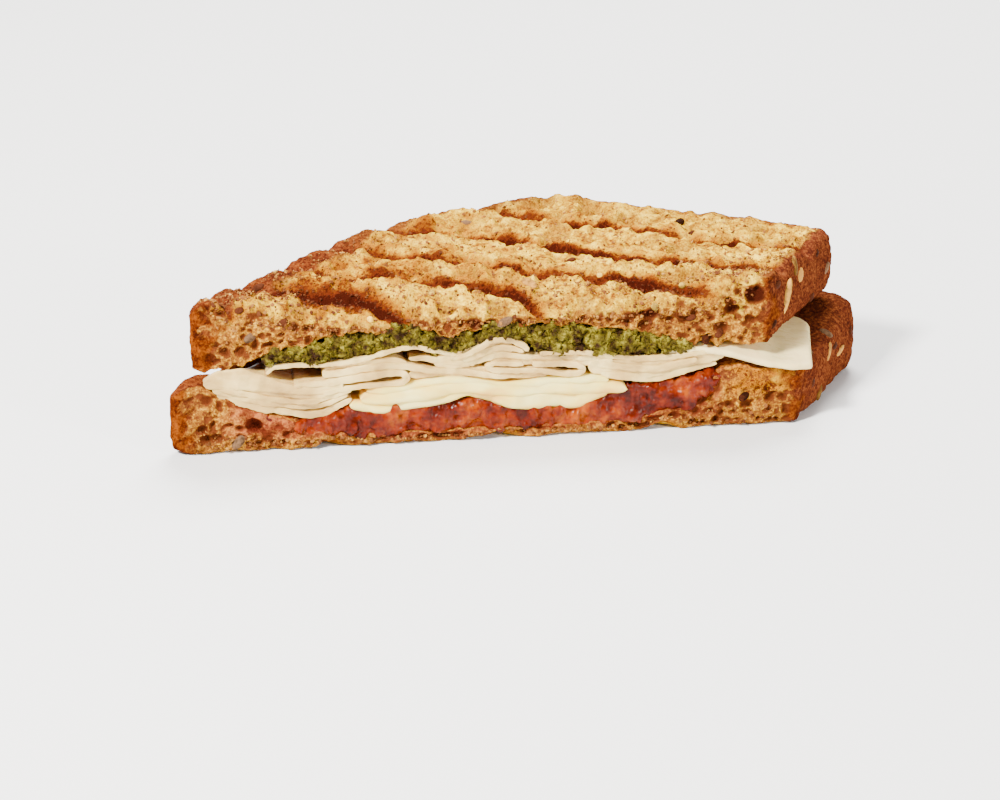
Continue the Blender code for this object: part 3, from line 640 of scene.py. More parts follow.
def layer(knots, front, rim, rows, square, soften, seed, step=0.35, inset=12, wander=0.35):
    """A layer drawn at the cut as a line of x, z and thickness, carried back towards the crust. Each point
    of the line gives a loop: round the front rim from the underside up, back along the top and forward
    along the underside. Gives the points, the outward pushes, and a share that falls from 1 at the rim to
    0 at the back."""
    rim_rows, side_rows = rows
    line = smooth_line(knots, step, soften)
    along = np.gradient(line[:, :2], axis=0)
    along /= np.linalg.norm(along, axis=1)[:, None] + 1e-9
    normal = np.stack([-along[:, 1], along[:, 0]], axis=1)
    places = np.arange(len(line)) * step
    end = np.minimum(places, places[-1] - places)
    short = 1 - np.clip(end / (line[:, 2] / 2 + 0.3), 0, 1)
    half = line[:, 2] / 2 * np.sqrt(np.clip(1 - short ** 2, 0.02, 1))
    angle = np.linspace(-math.pi / 2, math.pi / 2, rim_rows)
    rim_in = 1 - np.cos(angle) ** square
    rim_up = np.sign(np.sin(angle)) * np.abs(np.sin(angle)) ** square
    back_share = (np.arange(1, side_rows + 1) / side_rows) ** 1.8
    inward = np.concatenate([0 * angle, back_share, back_share[::-1]])
    rim_part = np.concatenate([rim_in, np.ones(2 * side_rows)])
    thin = 1 - 0.75 * back_share ** 2
    upward = np.concatenate([rim_up, thin, -thin[::-1]])
    drawn = np.stack([line[:, 0], 3 * line[:, 1], 0 * line[:, 0]], axis=1)
    edge = front + wander * rough(drawn, 7, 3, seed)
    depth = np.maximum(back_reach(line[:, 0], inset) - edge - rim, 0.5)
    y = edge[:, None] + rim * rim_part + depth[:, None] * inward
    x = line[:, :1] + normal[:, :1] * half[:, None] * upward
    z = line[:, 1:2] + normal[:, 1:2] * half[:, None] * upward
    turn = np.concatenate([angle, np.full(side_rows, math.pi / 2), np.full(side_rows, -math.pi / 2)])
    rise = np.sin(turn)
    pushes = np.stack([normal[:, :1] * rise, -np.cos(turn) + 0 * x, normal[:, 1:2] * rise], axis=-1)
    points = np.stack([x, y, squeezed(x, np.maximum(y, 0), z)], axis=-1)
    return points, pushes, np.broadcast_to(1 - inward, x.shape)


def layer_faces(count, rim_rows, side_rows):
    """Quads of a layer's loops, and at both ends quads that zip the loop's upper half to its lower half."""
    ring = rim_rows + 2 * side_rows
    middle = rim_rows // 2
    upward = np.arange(middle, rim_rows + side_rows)
    downward = np.concatenate([np.arange(middle)[::-1], np.arange(rim_rows + side_rows, ring)[::-1]])
    first = np.stack([upward[:-1], downward[:-1], downward[1:], upward[1:]], axis=-1)[:, ::-1]
    last = np.stack([upward[:-1], upward[1:], downward[1:], downward[:-1]], axis=-1)[:, ::-1]
    return np.concatenate([ring_faces(count, ring), first, last + (count - 1) * ring])


def layered_piece(name, parts, rows, material, attributes=None):
    """One object from the points of several layers that have the same rim and side rows."""
    all_faces, start = [], 0
    for points in parts:
        all_faces.append(layer_faces(len(points), *rows) + start)
        start += points.shape[0] * points.shape[1]
    all_points = np.concatenate([points.reshape(-1, 3) for points in parts])
    return piece_from(name, all_points, np.concatenate(all_faces), material, attributes)


RELISH_LINE = ((17, 8.4, 1.6), (24, 6.2, 2.6), (30, 5.6, 4.8), (36, 6.6, 7.4), (41, 6.4, 8.6),
               (46, 6.2, 7.2), (55, 6.1, 6.6), (62, 6.5, 7.4), (67, 7.1, 8.6), (72, 6.3, 7.4),
               (80, 5.1, 5.6), (88, 5.3, 5.8), (95, 5.3, 5.8), (101, 6.8, 7.4), (108, 7.6, 9.0),
               (115, 8.4, 8.6), (121, 9.6, 8.2), (126, 12, 4.6), (129, 13.6, 2))
RELISH_ROWS = 24, 14
RELISH_TONES = ((0.38, (0.042, 0.0028, 0.0003, 1)), (0.46, (0.1, 0.0062, 0.0003, 1)),
                (0.54, (0.175, 0.0165, 0.0003, 1)), (0.66, (0.32, 0.06, 0.001, 1)))


def relish_material():
    """Relish: deep red to orange, paler pulp here and there, under a thin wet coat."""
    material, flow = new_material("tomato relish")
    wide = flow.noise(5, 3)
    fine = flow.noise(1.1, 3)
    colour = (wide * 0.75 + fine * 0.25).ramp(*RELISH_TONES)
    height = flow.noise(2.0, 1) * 0.8 + fine * 0.2
    finish_material(flow, colour, 0.07, height, 2.2, Specular_IOR_Level=0.1, Coat_Weight=0.12,
                    Coat_Roughness=0.08)
    return material


points, pushes, frontness = layer(RELISH_LINE, 0.0, 1.0, RELISH_ROWS, 0.8, 4, 41, step=0.3)
wet = (0.7 * rough(points, 4.0, 2, 42) + 0.55 * bubbles(points, 3.8, 0.8, 44)
       + 0.45 * bubbles(points, 1.9, 0.7, 45) + 0.15 * rough(points, 1.2, 2, 43)
       - 0.7 * bubbles(points, 2.6, 0.35, 46))
points = points + pushes * (wet * frontness)[..., None]
relish = layered_piece("relish", [points], RELISH_ROWS, relish_material())
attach(relish, "root")
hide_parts("tomato_relish")


# Cheese: three slices melted together on the relish, soft and rounded where they run out at the cut.
# Each is a thick layer with a full round rim, sunk into the next.
CHEESE = {
    "cheese_slice_1": (((37.5, 11.0, 2.4), (42, 9.9, 2.6), (46, 9.6, 2.8), (54, 10.6, 2.6),
                        (60, 10.8, 2.8), (66, 12.8, 2.4), (71, 11.6, 3.0), (76, 9.9, 4.0),
                        (81, 9.2, 4.4), (87, 9.9, 4.2), (93, 8.8, 4.8), (97, 10.4, 3.6),
                        (101, 11.4, 2.6)), -0.5),
    "cheese_slice_2": (((40.0, 12.6, 2.8), (46, 12.3, 3.2), (54, 13.0, 3.4), (61, 13.8, 3.4),
                        (67, 14.3, 3.2), (73, 12.9, 3.4), (80, 12.4, 3.4), (88, 12.9, 3.2),
                        (95, 12.2, 3.8), (101, 12.0, 3.2), (105.5, 11.7, 2.4)), -0.9),
    "cheese_slice_3": (((41.5, 14.3, 2.2), (48, 14.2, 2.4), (55, 15.2, 2.4), (62, 16.0, 2.2),
                        (69, 15.0, 2.2), (75, 13.8, 2.0), (82, 14.0, 2.2), (90, 14.6, 2.2),
                        (96, 14.4, 2.4), (101, 14.0, 1.8)), -0.5),
}
CHEESE_ROWS = 16, 10
CHEESE_TONES = ((0.36, (0.84, 0.49, 0.085, 1)), (0.5, (0.95, 0.67, 0.155, 1)),
                (0.64, (0.98, 0.78, 0.26, 1)))


def cheese_material():
    """Melted cheese: pale yellow cream, deeper in places, soft gloss and light that seeps in."""
    material, flow = new_material("melted cheese")
    colour = flow.noise(9, 2, stretch=(1, 1, 2.5)).ramp(*CHEESE_TONES)
    finish_material(flow, colour, flow.noise(2.5, 2) * 0.2 + 0.24, flow.noise(4, 2), 0.35,
                    Subsurface_Weight=0.45, Subsurface_Radius=(1.0, 0.7, 0.35), Subsurface_Scale=0.003,
                    Coat_Weight=0.2, Coat_Roughness=0.2)
    return material


melted = cheese_material()
for seed, (node, (knots, front)) in enumerate(CHEESE.items()):
    points, pushes, frontness = layer(knots, front, 1.4, CHEESE_ROWS, 0.85, 5, 51 + seed,
                                      inset=14, wander=0.5)
    uneven = 0.22 * rough(points * (0.6, 1, 1.6), 4.5, 2, 54 + seed)
    points = points + pushes * (uneven * frontness)[..., None]
    slice_of_cheese = layered_piece("melted_" + node, [points], CHEESE_ROWS, melted)
    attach(slice_of_cheese, "root")
    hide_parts(node)


# Turkey: thin cooked slices, folded over and laid in a loose pile between the cheese and the pesto.
# Each line is one slice at the cut, with its folds; a slice may show as two or three such lines.
TURKEY = {
    "turkey_slice_1": (
        (1.1, ((8, 16.4, 3.0), (14, 14.6, 5.0), (20, 13.4, 6.0), (26, 12.6, 6.4), (31, 13.2, 5.6),
               (36, 14.6, 3.6))),
        (0.1, ((5.5, 15.6, 1.6), (10, 13.2, 1.8), (16, 11.3, 1.9), (22, 9.6, 1.8), (27.5, 8.6, 1.9),
               (31.5, 9.2, 1.9), (34.5, 10.8, 1.6), (38, 12.4, 1.2))),
        (-0.1, ((4.5, 16.8, 1.3), (10, 14.5, 1.3), (17, 12.6, 1.3), (24, 11.2, 1.2), (29, 10.9, 1.3),
                (33, 12.0, 1.3), (37, 13.6, 1.0)))),
    "turkey_slice_2": (
        (-0.3, ((6, 17.2, 1.4), (12, 15.4, 1.5), (18, 13.6, 1.4), (24, 12.6, 1.3), (29, 12.5, 1.3),
                (34, 13.6, 1.2), (38, 15.0, 1.0))),
        (0.0, ((12, 16.6, 1.2), (19, 14.9, 1.2), (25, 13.9, 1.2), (31, 13.8, 1.2), (36, 15.0, 1.0)))),
    "turkey_slice_3": (
        (-0.4, ((2.4, 18.2, 2.4), (6, 19.2, 4.6), (11, 19.2, 5.6), (16, 17.9, 4.4), (21, 16.4, 2.6),
                (26, 15.3, 2.0), (31, 15.2, 1.8), (36, 16.4, 1.4))),
        (0.5, ((8, 20.6, 1.0), (13, 20.0, 1.0), (17.6, 19.6, 0.9)))),
    "turkey_slice_4": (
        (0.6, ((31, 19.2, 3.0), (36, 19.6, 3.2), (42, 20.4, 3.4), (48, 20.8, 4.0), (52, 19.8, 2.4))),
        (0.6, ((52, 17.8, 2.4), (60, 18.2, 2.8), (68, 17.6, 2.6), (77, 16.8, 2.6), (86, 16.4, 1.8))),
        (-0.5, ((31, 14.6, 1.4), (36, 15.3, 1.4), (41, 15.9, 1.3), (47, 15.9, 1.2), (50.4, 16.1, 1.2),
                (51.8, 17.4, 1.5), (50.2, 18.7, 1.7), (45, 18.5, 1.8), (39, 17.9, 1.9), (33, 17.2, 1.9),
                (27, 16.9, 1.4), (24, 16.8, 1.0))),
        (-0.1, ((31, 19.0, 1.8), (36, 19.6, 1.8), (42, 20.2, 1.8), (48, 20.6, 1.7), (53, 19.9, 1.5),
                (58, 18.6, 1.4), (64, 18.3, 1.6), (69, 17.4, 1.5), (74, 16.4, 1.4), (80, 16.4, 1.0)))),
    "turkey_slice_5": (
        (0.6, ((96, 17.6, 3.4), (104, 16.8, 4.8), (111, 16.2, 5.0), (118, 17.2, 4.4), (124, 18.4, 3.6),
               (130, 19.0, 2.2))),
        (0.0, ((96, 18.2, 1.6), (102, 17.6, 1.8), (108, 16.6, 1.9), (113, 16.3, 1.8), (118, 17.2, 1.6),
               (123, 18.2, 1.2))),
        (0.4, ((99, 15.6, 1.4), (104, 14.8, 1.9), (109, 14.0, 2.2), (114, 13.8, 2.1), (119, 15.0, 1.7),
               (124, 16.0, 1.3), (128, 16.6, 1.0)))),
    "turkey_slice_6": (
        (0.6, ((58, 20.6, 2.8), (64, 21.0, 4.4), (70, 22.4, 4.8), (74, 23.4, 4.4), (77.5, 23.4, 3.2))),
        (0.6, ((72, 20.4, 2.0), (80, 20.0, 2.6), (88, 19.8, 3.0), (96, 19.4, 3.4), (102, 18.6, 3.6))),
        (-0.2, ((62, 21.4, 1.2), (66, 22.5, 1.3), (69, 24.0, 1.4), (71.6, 25.6, 1.4), (74, 26.0, 1.4),
                (77, 25.5, 1.4), (79.8, 24.2, 1.4), (81, 22.8, 1.2))),
        (0.1, ((63, 20.3, 1.4), (67, 21.5, 1.6), (71, 23.0, 1.8), (74.5, 23.8, 1.6), (78, 23.2, 1.3),
               (80, 22.4, 0.9))),
        (0.3, ((66, 20.2, 1.0), (71, 21.4, 1.5), (75, 21.8, 1.6), (80, 20.9, 1.4), (86, 20.4, 1.4),
               (92, 20.2, 1.4), (98, 19.7, 1.4)))),
    "turkey_slice_8": (
        (-0.3, ((17.4, 20.0, 0.7), (19.2, 21.7, 0.9), (24, 22.0, 1.0), (31, 21.6, 1.1), (37, 22.0, 1.2),
                (42, 22.8, 1.2), (46, 24.0, 1.2), (50, 25.0, 1.2), (54, 25.2, 1.2), (58, 24.0, 1.2),
                (62, 22.8, 1.1), (66, 22.3, 0.8))),
        (0.1, ((52, 22.0, 0.8), (56.3, 21.7, 1.5), (60, 21.0, 1.5), (64, 20.3, 1.2), (68, 19.6, 0.8))),
        (-0.5, ((80, 19.3, 1.2), (76, 19.7, 1.0), (72.4, 19.9, 0.9), (70.8, 19.0, 1.1),
                (72.6, 18.1, 1.3), (78, 17.8, 1.4), (84, 17.5, 1.3), (90, 16.2, 1.2), (93.6, 16.3, 1.3),
                (94.8, 17.3, 1.4), (93.2, 18.5, 1.4), (88, 18.9, 1.5), (82, 19.2, 1.3))),
        (0.0, ((84, 21.6, 1.1), (90, 21.8, 1.2), (96, 21.3, 1.3), (102, 20.0, 1.3), (108, 19.1, 1.4),
               (114, 19.0, 1.4), (120, 19.4, 1.3), (126, 20.2, 1.0)))),
}
TURKEY_ROWS = 8, 12
TURKEY_TONES = ((0.37, (0.47, 0.295, 0.095, 1)), (0.48, (0.62, 0.41, 0.13, 1)),
                (0.62, (0.85, 0.63, 0.24, 1)))
# Painted shade for the parts of the turkey that lie deep in the pile, between the slices.
TURKEY_GAP_SHADE = (0.17, 0.05, 0.03, 1)
# A pale cream mixed into the turkey as painted light.
TURKEY_PAINTED_LIGHT = (0.98, 0.8, 0.4, 1)


def turkey_material(name, relief_mm, pale):
    """Cooked turkey: greyish cream, faint fibres, moist, a little translucent, with painted shade where it
    lies deep in the pile and painted light mixed in by a share.
    """
    material, flow = new_material(name)
    wide = flow.noise(7, 3)
    fibre = flow.noise(1.2, 4, 0.6, stretch=(0.35, 1, 1))
    colour = (wide * 0.8 + fibre * 0.2).ramp(*TURKEY_TONES)
    colour = colour.to(TURKEY_PAINTED_LIGHT, pale).to(TURKEY_GAP_SHADE, flow.attribute("deep") * 0.85)
    finish_material(flow, colour, fibre * 0.3 + 0.14, wide * 0.7 + fibre * 0.3, relief_mm,
                    Specular_IOR_Level=0.2, Subsurface_Weight=0.2, Subsurface_Radius=(1.0, 0.6, 0.4),
                    Subsurface_Scale=0.001)
    return material


cooked = turkey_material("cooked turkey slices", 1.0, 0.0)
for number, (node, lines) in enumerate(TURKEY.items()):
    parts, deep = [], []
    for k, (front, knots) in enumerate(lines):
        seed = 61 + 10 * number + k
        points, pushes, frontness = layer(knots, front, 0.3, TURKEY_ROWS, 0.32, 1.6, seed, inset=10 + 2 * k)
        uneven = 0.12 * rough(points, 2.4, 2, seed + 3) + 0.1 * rough(points, 0.9, 2, seed + 5)
        points = points + pushes * (uneven * frontness)[..., None]
        parts.append(points)
        # Painted shade: the deeper a point lies behind the cut, the darker it is coloured.
        deep.append(smooth(points[..., 1], 0.9, 4.5).ravel())
    slices = layered_piece("folded_" + node, parts, TURKEY_ROWS, cooked, {"deep": np.concatenate(deep)})
    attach(slices, "root")
    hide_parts(node)


# Turkey flap: the slice that reaches past the crust at the right end of the cut, smooth and drooping.
# It is a sheet on a grid along and into the sandwich, with a rounded edge.
FLAP_EDGES = ((116, 1.0, 19.6, 116, 14, 20.3), (122, 0.2, 20.4, 122, 13, 20.6),
              (127, -0.4, 20.2, 128, 12, 20.8), (131, -0.9, 19.2, 133, 12, 20.8),
              (134, -1.2, 18.1, 138, 14, 20.7), (138, -1.5, 16.9, 143, 17, 20.3),
              (142, -1.7, 16.0, 146.5, 20.5, 19.7), (146, -1.7, 15.4, 150.0, 23.6, 19.2),
              (149.0, -1.6, 15.2, 152.4, 24.8, 19.1), (151.0, -1.5, 15.1, 154.6, 23.6, 18.8),
              (151.8, -1.0, 15.2, 156.0, 20.0, 18.0))
FLAP_COLUMNS = 70
FLAP_THICKNESS = 1.7


def sheet_piece(name, middle, thickness, material):
    """A closed thin sheet from its middle surface: one side above it, the other below, joined at the rim,
    where the thickness runs out over the last rows."""
    rows, columns = middle.shape[:2]
    u = np.linspace(0, 1, rows)[:, None]
    v = np.linspace(0, 1, columns)[None, :]
    rim = np.minimum(np.minimum(u, 1 - u) * rows, np.minimum(v, 1 - v) * columns) / 3
    half = thickness / 2 * np.sqrt(1 - (1 - np.clip(rim, 0, 1)) ** 2)
    normal = np.cross(np.gradient(middle, axis=0), np.gradient(middle, axis=1))
    normal /= np.linalg.norm(normal, axis=-1)[..., None] + 1e-12
    normal *= np.sign(normal[..., 2].mean())
    points = np.stack([middle + normal * half[..., None], middle - normal * half[..., None]]).reshape(-1, 3)
    at = np.arange(rows * columns).reshape(rows, columns)
    quads = np.stack([at[:-1, :-1], at[1:, :-1], at[1:, 1:], at[:-1, 1:]], axis=-1).reshape(-1, 4)
    side = np.cross(middle[1, 0] - middle[0, 0], middle[0, 1] - middle[0, 0])[2]
    upper = quads if side > 0 else quads[:, ::-1]
    lower = (quads[:, ::-1] if side > 0 else quads) + rows * columns
    return piece_from(name, points, np.concatenate([upper, lower]), material, weld=True)


flap_line = smooth_line(FLAP_EDGES, 0.35, 3)
share = np.linspace(0, 1, FLAP_COLUMNS)[None, :, None]
front_edge, back_edge = flap_line[:, None, :3], flap_line[:, None, 3:]
middle = front_edge + (back_edge - front_edge) * share
puffed = 1.1 * band(middle[..., 0], 128, 146, 8, 8) - 0.7 * smooth(middle[..., 0], 146, 154)
swell = np.sin(np.pi * share[..., 0]) * puffed
middle[..., 2] += swell + 0.2 * lumps(middle, 7, 91)
middle[..., 1] += 0.25 * rough(middle * (1, 0, 0), 2.2, 3, 92) * (1 - share[..., 0])
# The flap's turkey is painted paler by a share of 0.6: painted light, to make up for the shade the upper
# slice casts on it.
flap = sheet_piece("turkey_flap", middle, FLAP_THICKNESS, turkey_material("smooth turkey slice", 0.3, 0.6))
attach(flap, "root")
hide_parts("turkey_slice_7")


# Pesto: green basil pesto spread under the upper slice, coarse and oily, with dark gaps between its clumps.
# It is one closed lumpy layer; the loose clumps on its front come last.
PESTO_LINE = ((16.5, 23.6, 1.6), (20, 24.0, 2.4), (26, 24.6, 3.6), (31, 24.9, 4.0), (36, 25.9, 5.2),
              (41, 26.0, 4.6), (46, 27.0, 4.2), (51, 28.0, 4.2), (56, 27.2, 3.6), (61, 25.2, 3.4),
              (66, 25.4, 3.8), (70, 26.9, 3.2), (74, 28.2, 2.6), (79, 27.6, 3.6), (84, 25.6, 6.0),
              (90, 25.4, 6.4), (96, 25.0, 6.2), (102, 23.9, 6.0), (108, 23.0, 5.0), (114, 22.6, 4.4),
              (119, 21.9, 2.6), (122, 21.3, 1.2))
PESTO_ROWS = 26, 10
PESTO_TONES = ((0.40, (0.022, 0.008, 0.002, 1)), (0.46, (0.055, 0.036, 0.004, 1)),
               (0.54, (0.11, 0.082, 0.006, 1)), (0.63, (0.30, 0.25, 0.03, 1)))


def pesto_material():
    """Pesto: olive and yellow green, with painted shade in its gaps, its palest tone on its clumps partly
    specks of cheese and nut and partly painted light, oily.
    """
    material, flow = new_material("basil pesto")
    fine = flow.noise(1.5, 4, 0.6)
    # The colour and the bump share the fine noise: darker where the bump is low, painted shade in the gaps
    # between the clumps, and paler on the clumps' tops.
    colour = (fine * 0.7 + flow.noise(4, 2) * 0.3).ramp(*PESTO_TONES)
    finish_material(flow, colour, fine * 0.3 + 0.3, fine, 1.6, Specular_IOR_Level=0.06)
    return material


points, pushes, frontness = layer(PESTO_LINE, 0.2, 1.4, PESTO_ROWS, 0.85, 3, 101, step=0.25, wander=0.5)
clumps = (rough(points, 2.8, 2, 102) + 0.4 * lumps(points, 1.2, 103)
          - 1.3 * bubbles(points, 3.2, 0.35, 104))
points = points + pushes * (clumps * frontness)[..., None]
basil = pesto_material()
pesto = layered_piece("pesto_spread", [points], PESTO_ROWS, basil)
spread = points, pushes
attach(pesto, "root")
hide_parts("pesto")


# Upper bread slice: the same bread, grilled golden on top, with the grill's grooves across it at a slant
# and puffed ridges between them. Its cut shows open crumb and its face rolls over the cut's edge.
UPPER_CORNERS = ((-2.6, 0.0, 2.0), (53, 60.5, 60), (99, 78.5, 12), (165.5, 38.2, 4), (140.5, 0.0, 2.0))
TOP_FACE = 37.6
GRILL_LINES = (
    ((2, 9), (5, 6), (8, 2), (11, -2)),
    ((8, 14.5), (14, 13.5), (18, 11), (25, 8.5), (31, 7.5), (36, 7), (41, 6), (46, 3), (51, -1)),
    ((20, 27), (26, 26.5), (30, 24.5), (33, 20), (36, 18), (41, 17), (46, 15.5), (51, 14.5), (56, 13.5),
     (62, 11.5), (67, 10.5), (72, 9), (76, 7), (80, 4), (84, 0), (87, -3)),
    ((30, 41), (37, 40.5), (42, 38), (46, 36), (51, 34), (54, 31.5), (58, 29.5), (62, 27), (65, 25.5),
     (69, 25), (72, 22), (76, 19.5), (79, 19), (82, 16), (85, 13.5), (90, 13), (95, 11.5), (100, 10),
     (104, 9), (108, 8), (114, 6), (119, 3), (124, 0), (128, -3)),
    ((44, 59), (52, 56), (56, 52), (60, 49.5), (65, 48.5), (70, 46.5), (77, 43.5), (84, 40), (88, 35),
     (92, 31), (97, 28), (102, 25), (109, 23.5), (112, 21), (119, 17.5), (127, 14), (134, 10.5),
     (142, 9.5), (150, 6)),
    ((66, 72), (76, 68), (80, 65), (84, 62), (91, 59.5), (97, 56), (100, 52), (104, 50), (111, 46.5),
     (116, 42.5), (123, 38), (131, 34), (136, 30), (143, 27), (152, 25), (162, 22)),
    ((92, 84), (112, 74), (126, 66), (150, 54), (170, 46)),
)
GRILL_NEAR_SIDE, GRILL_FAR_SIDE = 1.4, 2.7
UPPER_ROUNDS = (3.4, 2.4, 1.6, 0.6)
UPPER_FACE_ROWS = 98, 28
UPPER_RIGHT_END = 139.5
UPPER_CRUST = 22, 38.4


def grill_marks(x, y):
    """Depth and burn, 0..1, of the grill's lines: each is nearly straight in plan, its far side slopes up
    more gently than its near side, and the browning spreads up the far side."""
    place = flat(x, y)
    wander = 0.5 * lumps(place, 5, 114)
    middle = 0.35 + 0.95 * smooth(x + 0.5 * y, 60, 110)
    spread_share = 0.39 + 0.09 * (1 - smooth(x, 40, 110))
    depth, burn = np.zeros_like(x), np.zeros_like(x)
    for line in GRILL_LINES:
        line_x, line_y = np.array(line, float).T
        off = (y - np.interp(x, line_x, line_y)) * math.cos(GROOVE_TURN) + wander
        here = smooth(x, line_x[0] - 4, line_x[0]) * (1 - smooth(x, line_x[-1], line_x[-1] + 4))
        slope = np.where(off < 0, GRILL_NEAR_SIDE, GRILL_FAR_SIDE)
        depth = np.maximum(depth, here * np.exp(-(off / slope) ** 2))
        core = np.exp(-(np.abs(off - middle) / np.where(off < middle, 1.7, 1.45)) ** 2.2)
        halo = np.exp(-(np.abs(off - 1.0) / np.where(off < 1.0, 1.9, 3.9)) ** 1.6)
        burn = np.maximum(burn, here * (0.62 * core + spread_share * halo))
    return depth, burn


def top_height(x, y):
    """Upper face: puffed lumps between the grill's lines, sunk along the middle of the cut."""
    place = flat(x, y)
    puffs = 0.55 * bubbles(place, 10, 0.8, 113) / 3 + 0.5 * lumps(place, 7, 112)
    groove = grill_marks(x, y)[0] * (2.3 + 0.6 * lumps(place, 8, 111))
    sag = 4.4 * band(x, 6, 134, 34, 26) * (1 - smooth(y, 0, 14))
    tip = 4.0 * (1 - smooth(x, -2.6, 5)) ** 2
    return TOP_FACE + 0.5 + puffs - groove - sag - tip


points, pushes, kinds = loaf_slice(UPPER_CORNERS, top_height, ceiling_height,
                                   UPPER_ROUNDS, *UPPER_FACE_ROWS)
toast, crust, tip, crumb = bake_marks(points, kinds, OVER, UPPER_CORNERS, UPPER_RIGHT_END, top_height)
x, y, z = np.moveaxis(points, -1, 0)
open_crumb = np.clip(crumb + 0.7 * tip * kinds[:, CUT], 0, 1)
# The second mask paints shade into the pores of the cut.
pits, pore_shades = [values * open_crumb for values in crumb_relief(points, 121)]
face = toast * (kinds[:, OVER] + kinds[:, CUT])
depth, burn = grill_marks(x, y)
ridge = 1 - 0.85 * smooth(depth, 0.1, 0.6)
shallow = points * (1, 1, 0.3)
blisters = bubbles(shallow, 4.6, 0.6, 135)
dimples = 0.7 * bubbles(shallow, 7.0, 0.5, 122) + 0.6 * bubbles(shallow, 3.2, 0.6, 123)
lift = (0.45 * rough(points, 3.4, 3, 124) * (0.4 + 0.5 * crumb + 1.1 * face)
        + 0.22 * rough(points, 0.9, 2, 125) + (0.45 * blisters - 0.8 * dimples) * face * ridge
        + 0.5 * lumps(points, 9, 129) * kinds[:, CRUST_SIDE] + 0.7 * lumps(points, 4.5, 131) * tip)
bulge = wall_bulge(points, kinds, *UPPER_CRUST)
points = points + pushes * ((lift - pits) * off_the_ends(6) + bulge)[..., None]
over_pesto = z - ceiling_height(x, y)
torn = (1 - smooth(over_pesto, 0.5, 3.5)) * (1 - smooth(y, 0.5, 3)) * band(x, 2, 136, 6, 6)
points[..., 2] += torn * (0.9 * rough(flat(x, z), 2.0, 2, 141) + 0.3)
leftward = 1 - smooth(x - 0.5 * y, 15, 95)
near_crust = 0.3 * smooth(14 - crust_distance(x, y), 0, 12) * leftward
burn = burn * (0.8 + 0.2 * smooth(y, 0, 7) + near_crust) * (kinds[:, OVER] + 0.8 * kinds[:, CUT] * toast)
burn = burn * np.clip(1.0 + 0.45 * rough(points, 9, 2, 127), 0.7, 1.25)
# Painted shade in the dimples and other low spots of the toasted face, and a darker tint towards the back.
sunken = smooth(dimples, 0.2, 1.6) + 0.6 * smooth(-rough(points, 6, 2, 132), 0.1, 0.8)
hollow = face * np.clip(sunken + 0.28 * smooth(y, 22, 55), 0, 1)
scorch = (0.05 + 0.34 * leftward) * (0.35 + 1.0 * smooth(rough(points, 7, 3, 134), -0.2, 0.6))
char = np.clip(burn + scorch * face, 0, 1.2)
green = 0.6 * smooth(0.7 - over_pesto + 0.8 * rough(points, 2, 2, 128), 0, 1.2)
green = green * band(x, 15, 120, 4, 6) * kinds[:, CUT]
upper_slice = bread_slice("upper_slice", points, toast, char, crust, tip, pore_shades, 0 * green, green, hollow)
upper = points, pushes, char
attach(upper_slice, "root")
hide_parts("bread_top")


# Seeds and oat flakes: the whole grain of the bread's crust and dough, baked in and half sunk.
# Each kind has its size, colour and height over the bread, and its grains as x, y, z and spin.
# It is one mesh of closed grains, laid flat on the slices' surfaces.
GRAINS = {
    "oat_flakes": ((2.5, 1.35, 0.6), (0.38, 0.175, 0.032, 1), 0.25, (
        (149.1, 15, 36, 1.2), (150.4, 17.6, 33, 0.4), (115.9, 58, 30, 0.9), (99, 78, 31, 1.9),
        (36, 42, 30, 0.3), (82.6, 8, 38, 0.7), (158.8, 18.8, 12, 1.3), (164.3, 26.4, 9.5, 0.4),
        (154.5, 13, 3.5, 0.9), (134, 63, 12, 0.6), (96, 84, 8, 2.2), (30, 42, 8, 0.2))),
    "long_oats": ((4.2, 1.4, 0.8), (0.5, 0.25, 0.045, 1), 0.4, ((144.9, 9.3, 30.6, 1.2),)),
    "sunflower_seeds": ((2.1, 1.2, 0.9), (0.13, 0.07, 0.035, 1), 0.2, (
        (162.1, 32.4, 29.5, 0.9), (130, 60, 28, 0.5), (74.5, 55.5, 38, 2.1), (75.1, 0, 30.8, 1.7),
        (14.6, 0, 29.4, 0.3), (148, 70, 9, 0.2), (10.2, 0, 3, 0.8), (153, 10.5, 15.2, 0.3),
        (160.5, 20, 16.0, 1.0))),
    "flax_seeds": ((1.5, 1.0, 0.7), (0.05, 0.013, 0.005, 1), 0.15, (
        (141.8, 5.1, 34.8, 0.2), (140.4, 3.6, 26, 0.9), (158.5, 27.6, 35, 0.5), (140, 55, 33, 0.1),
        (60, 68, 29, 0.8), (127.7, 46.9, 38, 0.3), (129, 40, 38, 1.1), (60.4, 35.8, 38, 0.6),
        (128.5, 0, 25.5, 0.9), (161.4, 22.4, 12.4, 0.1), (168.6, 32.3, 12.1, 0.7),
        (151.1, 8.3, 8.2, 1.2), (60, 73, 9, 0.6), (135, 0, 8, 0.5), (121, 0, 29, 0.4),
        (125, 0, 23.4, 0.9), (22, 0, 33, 0.5), (12, 0, 37, 0.2), (146, 12, 22.8, 0.5),
        (156.5, 25, 24.5, 1.5), (17, 14, 38, 0.4), (95, 22, 38, 1.3), (108, 60, 38, 0.3))),
    "millet": ((0.9, 0.9, 0.8), (0.66, 0.4, 0.06, 1), 0.3, (
        (119.9, 4, 38, 0), (112, 0, 32, 0), (58, 6, 38, 0), (44, 0, 34, 0), (101, 12, 38, 0))),
}
GRAIN_ROWS = 8
GRAIN_COLUMNS = 12


def surface_normals(points, pushes):
    """Outward unit normals of a closed grid of points, turned the way the grid was pushed."""
    normal = np.cross(np.gradient(points, axis=0), np.roll(points, -1, axis=1) - np.roll(points, 1, axis=1))
    normal /= np.linalg.norm(normal, axis=-1)[..., None] + 1e-9
    return normal * np.sign((normal * pushes).sum(axis=-1))[..., None]


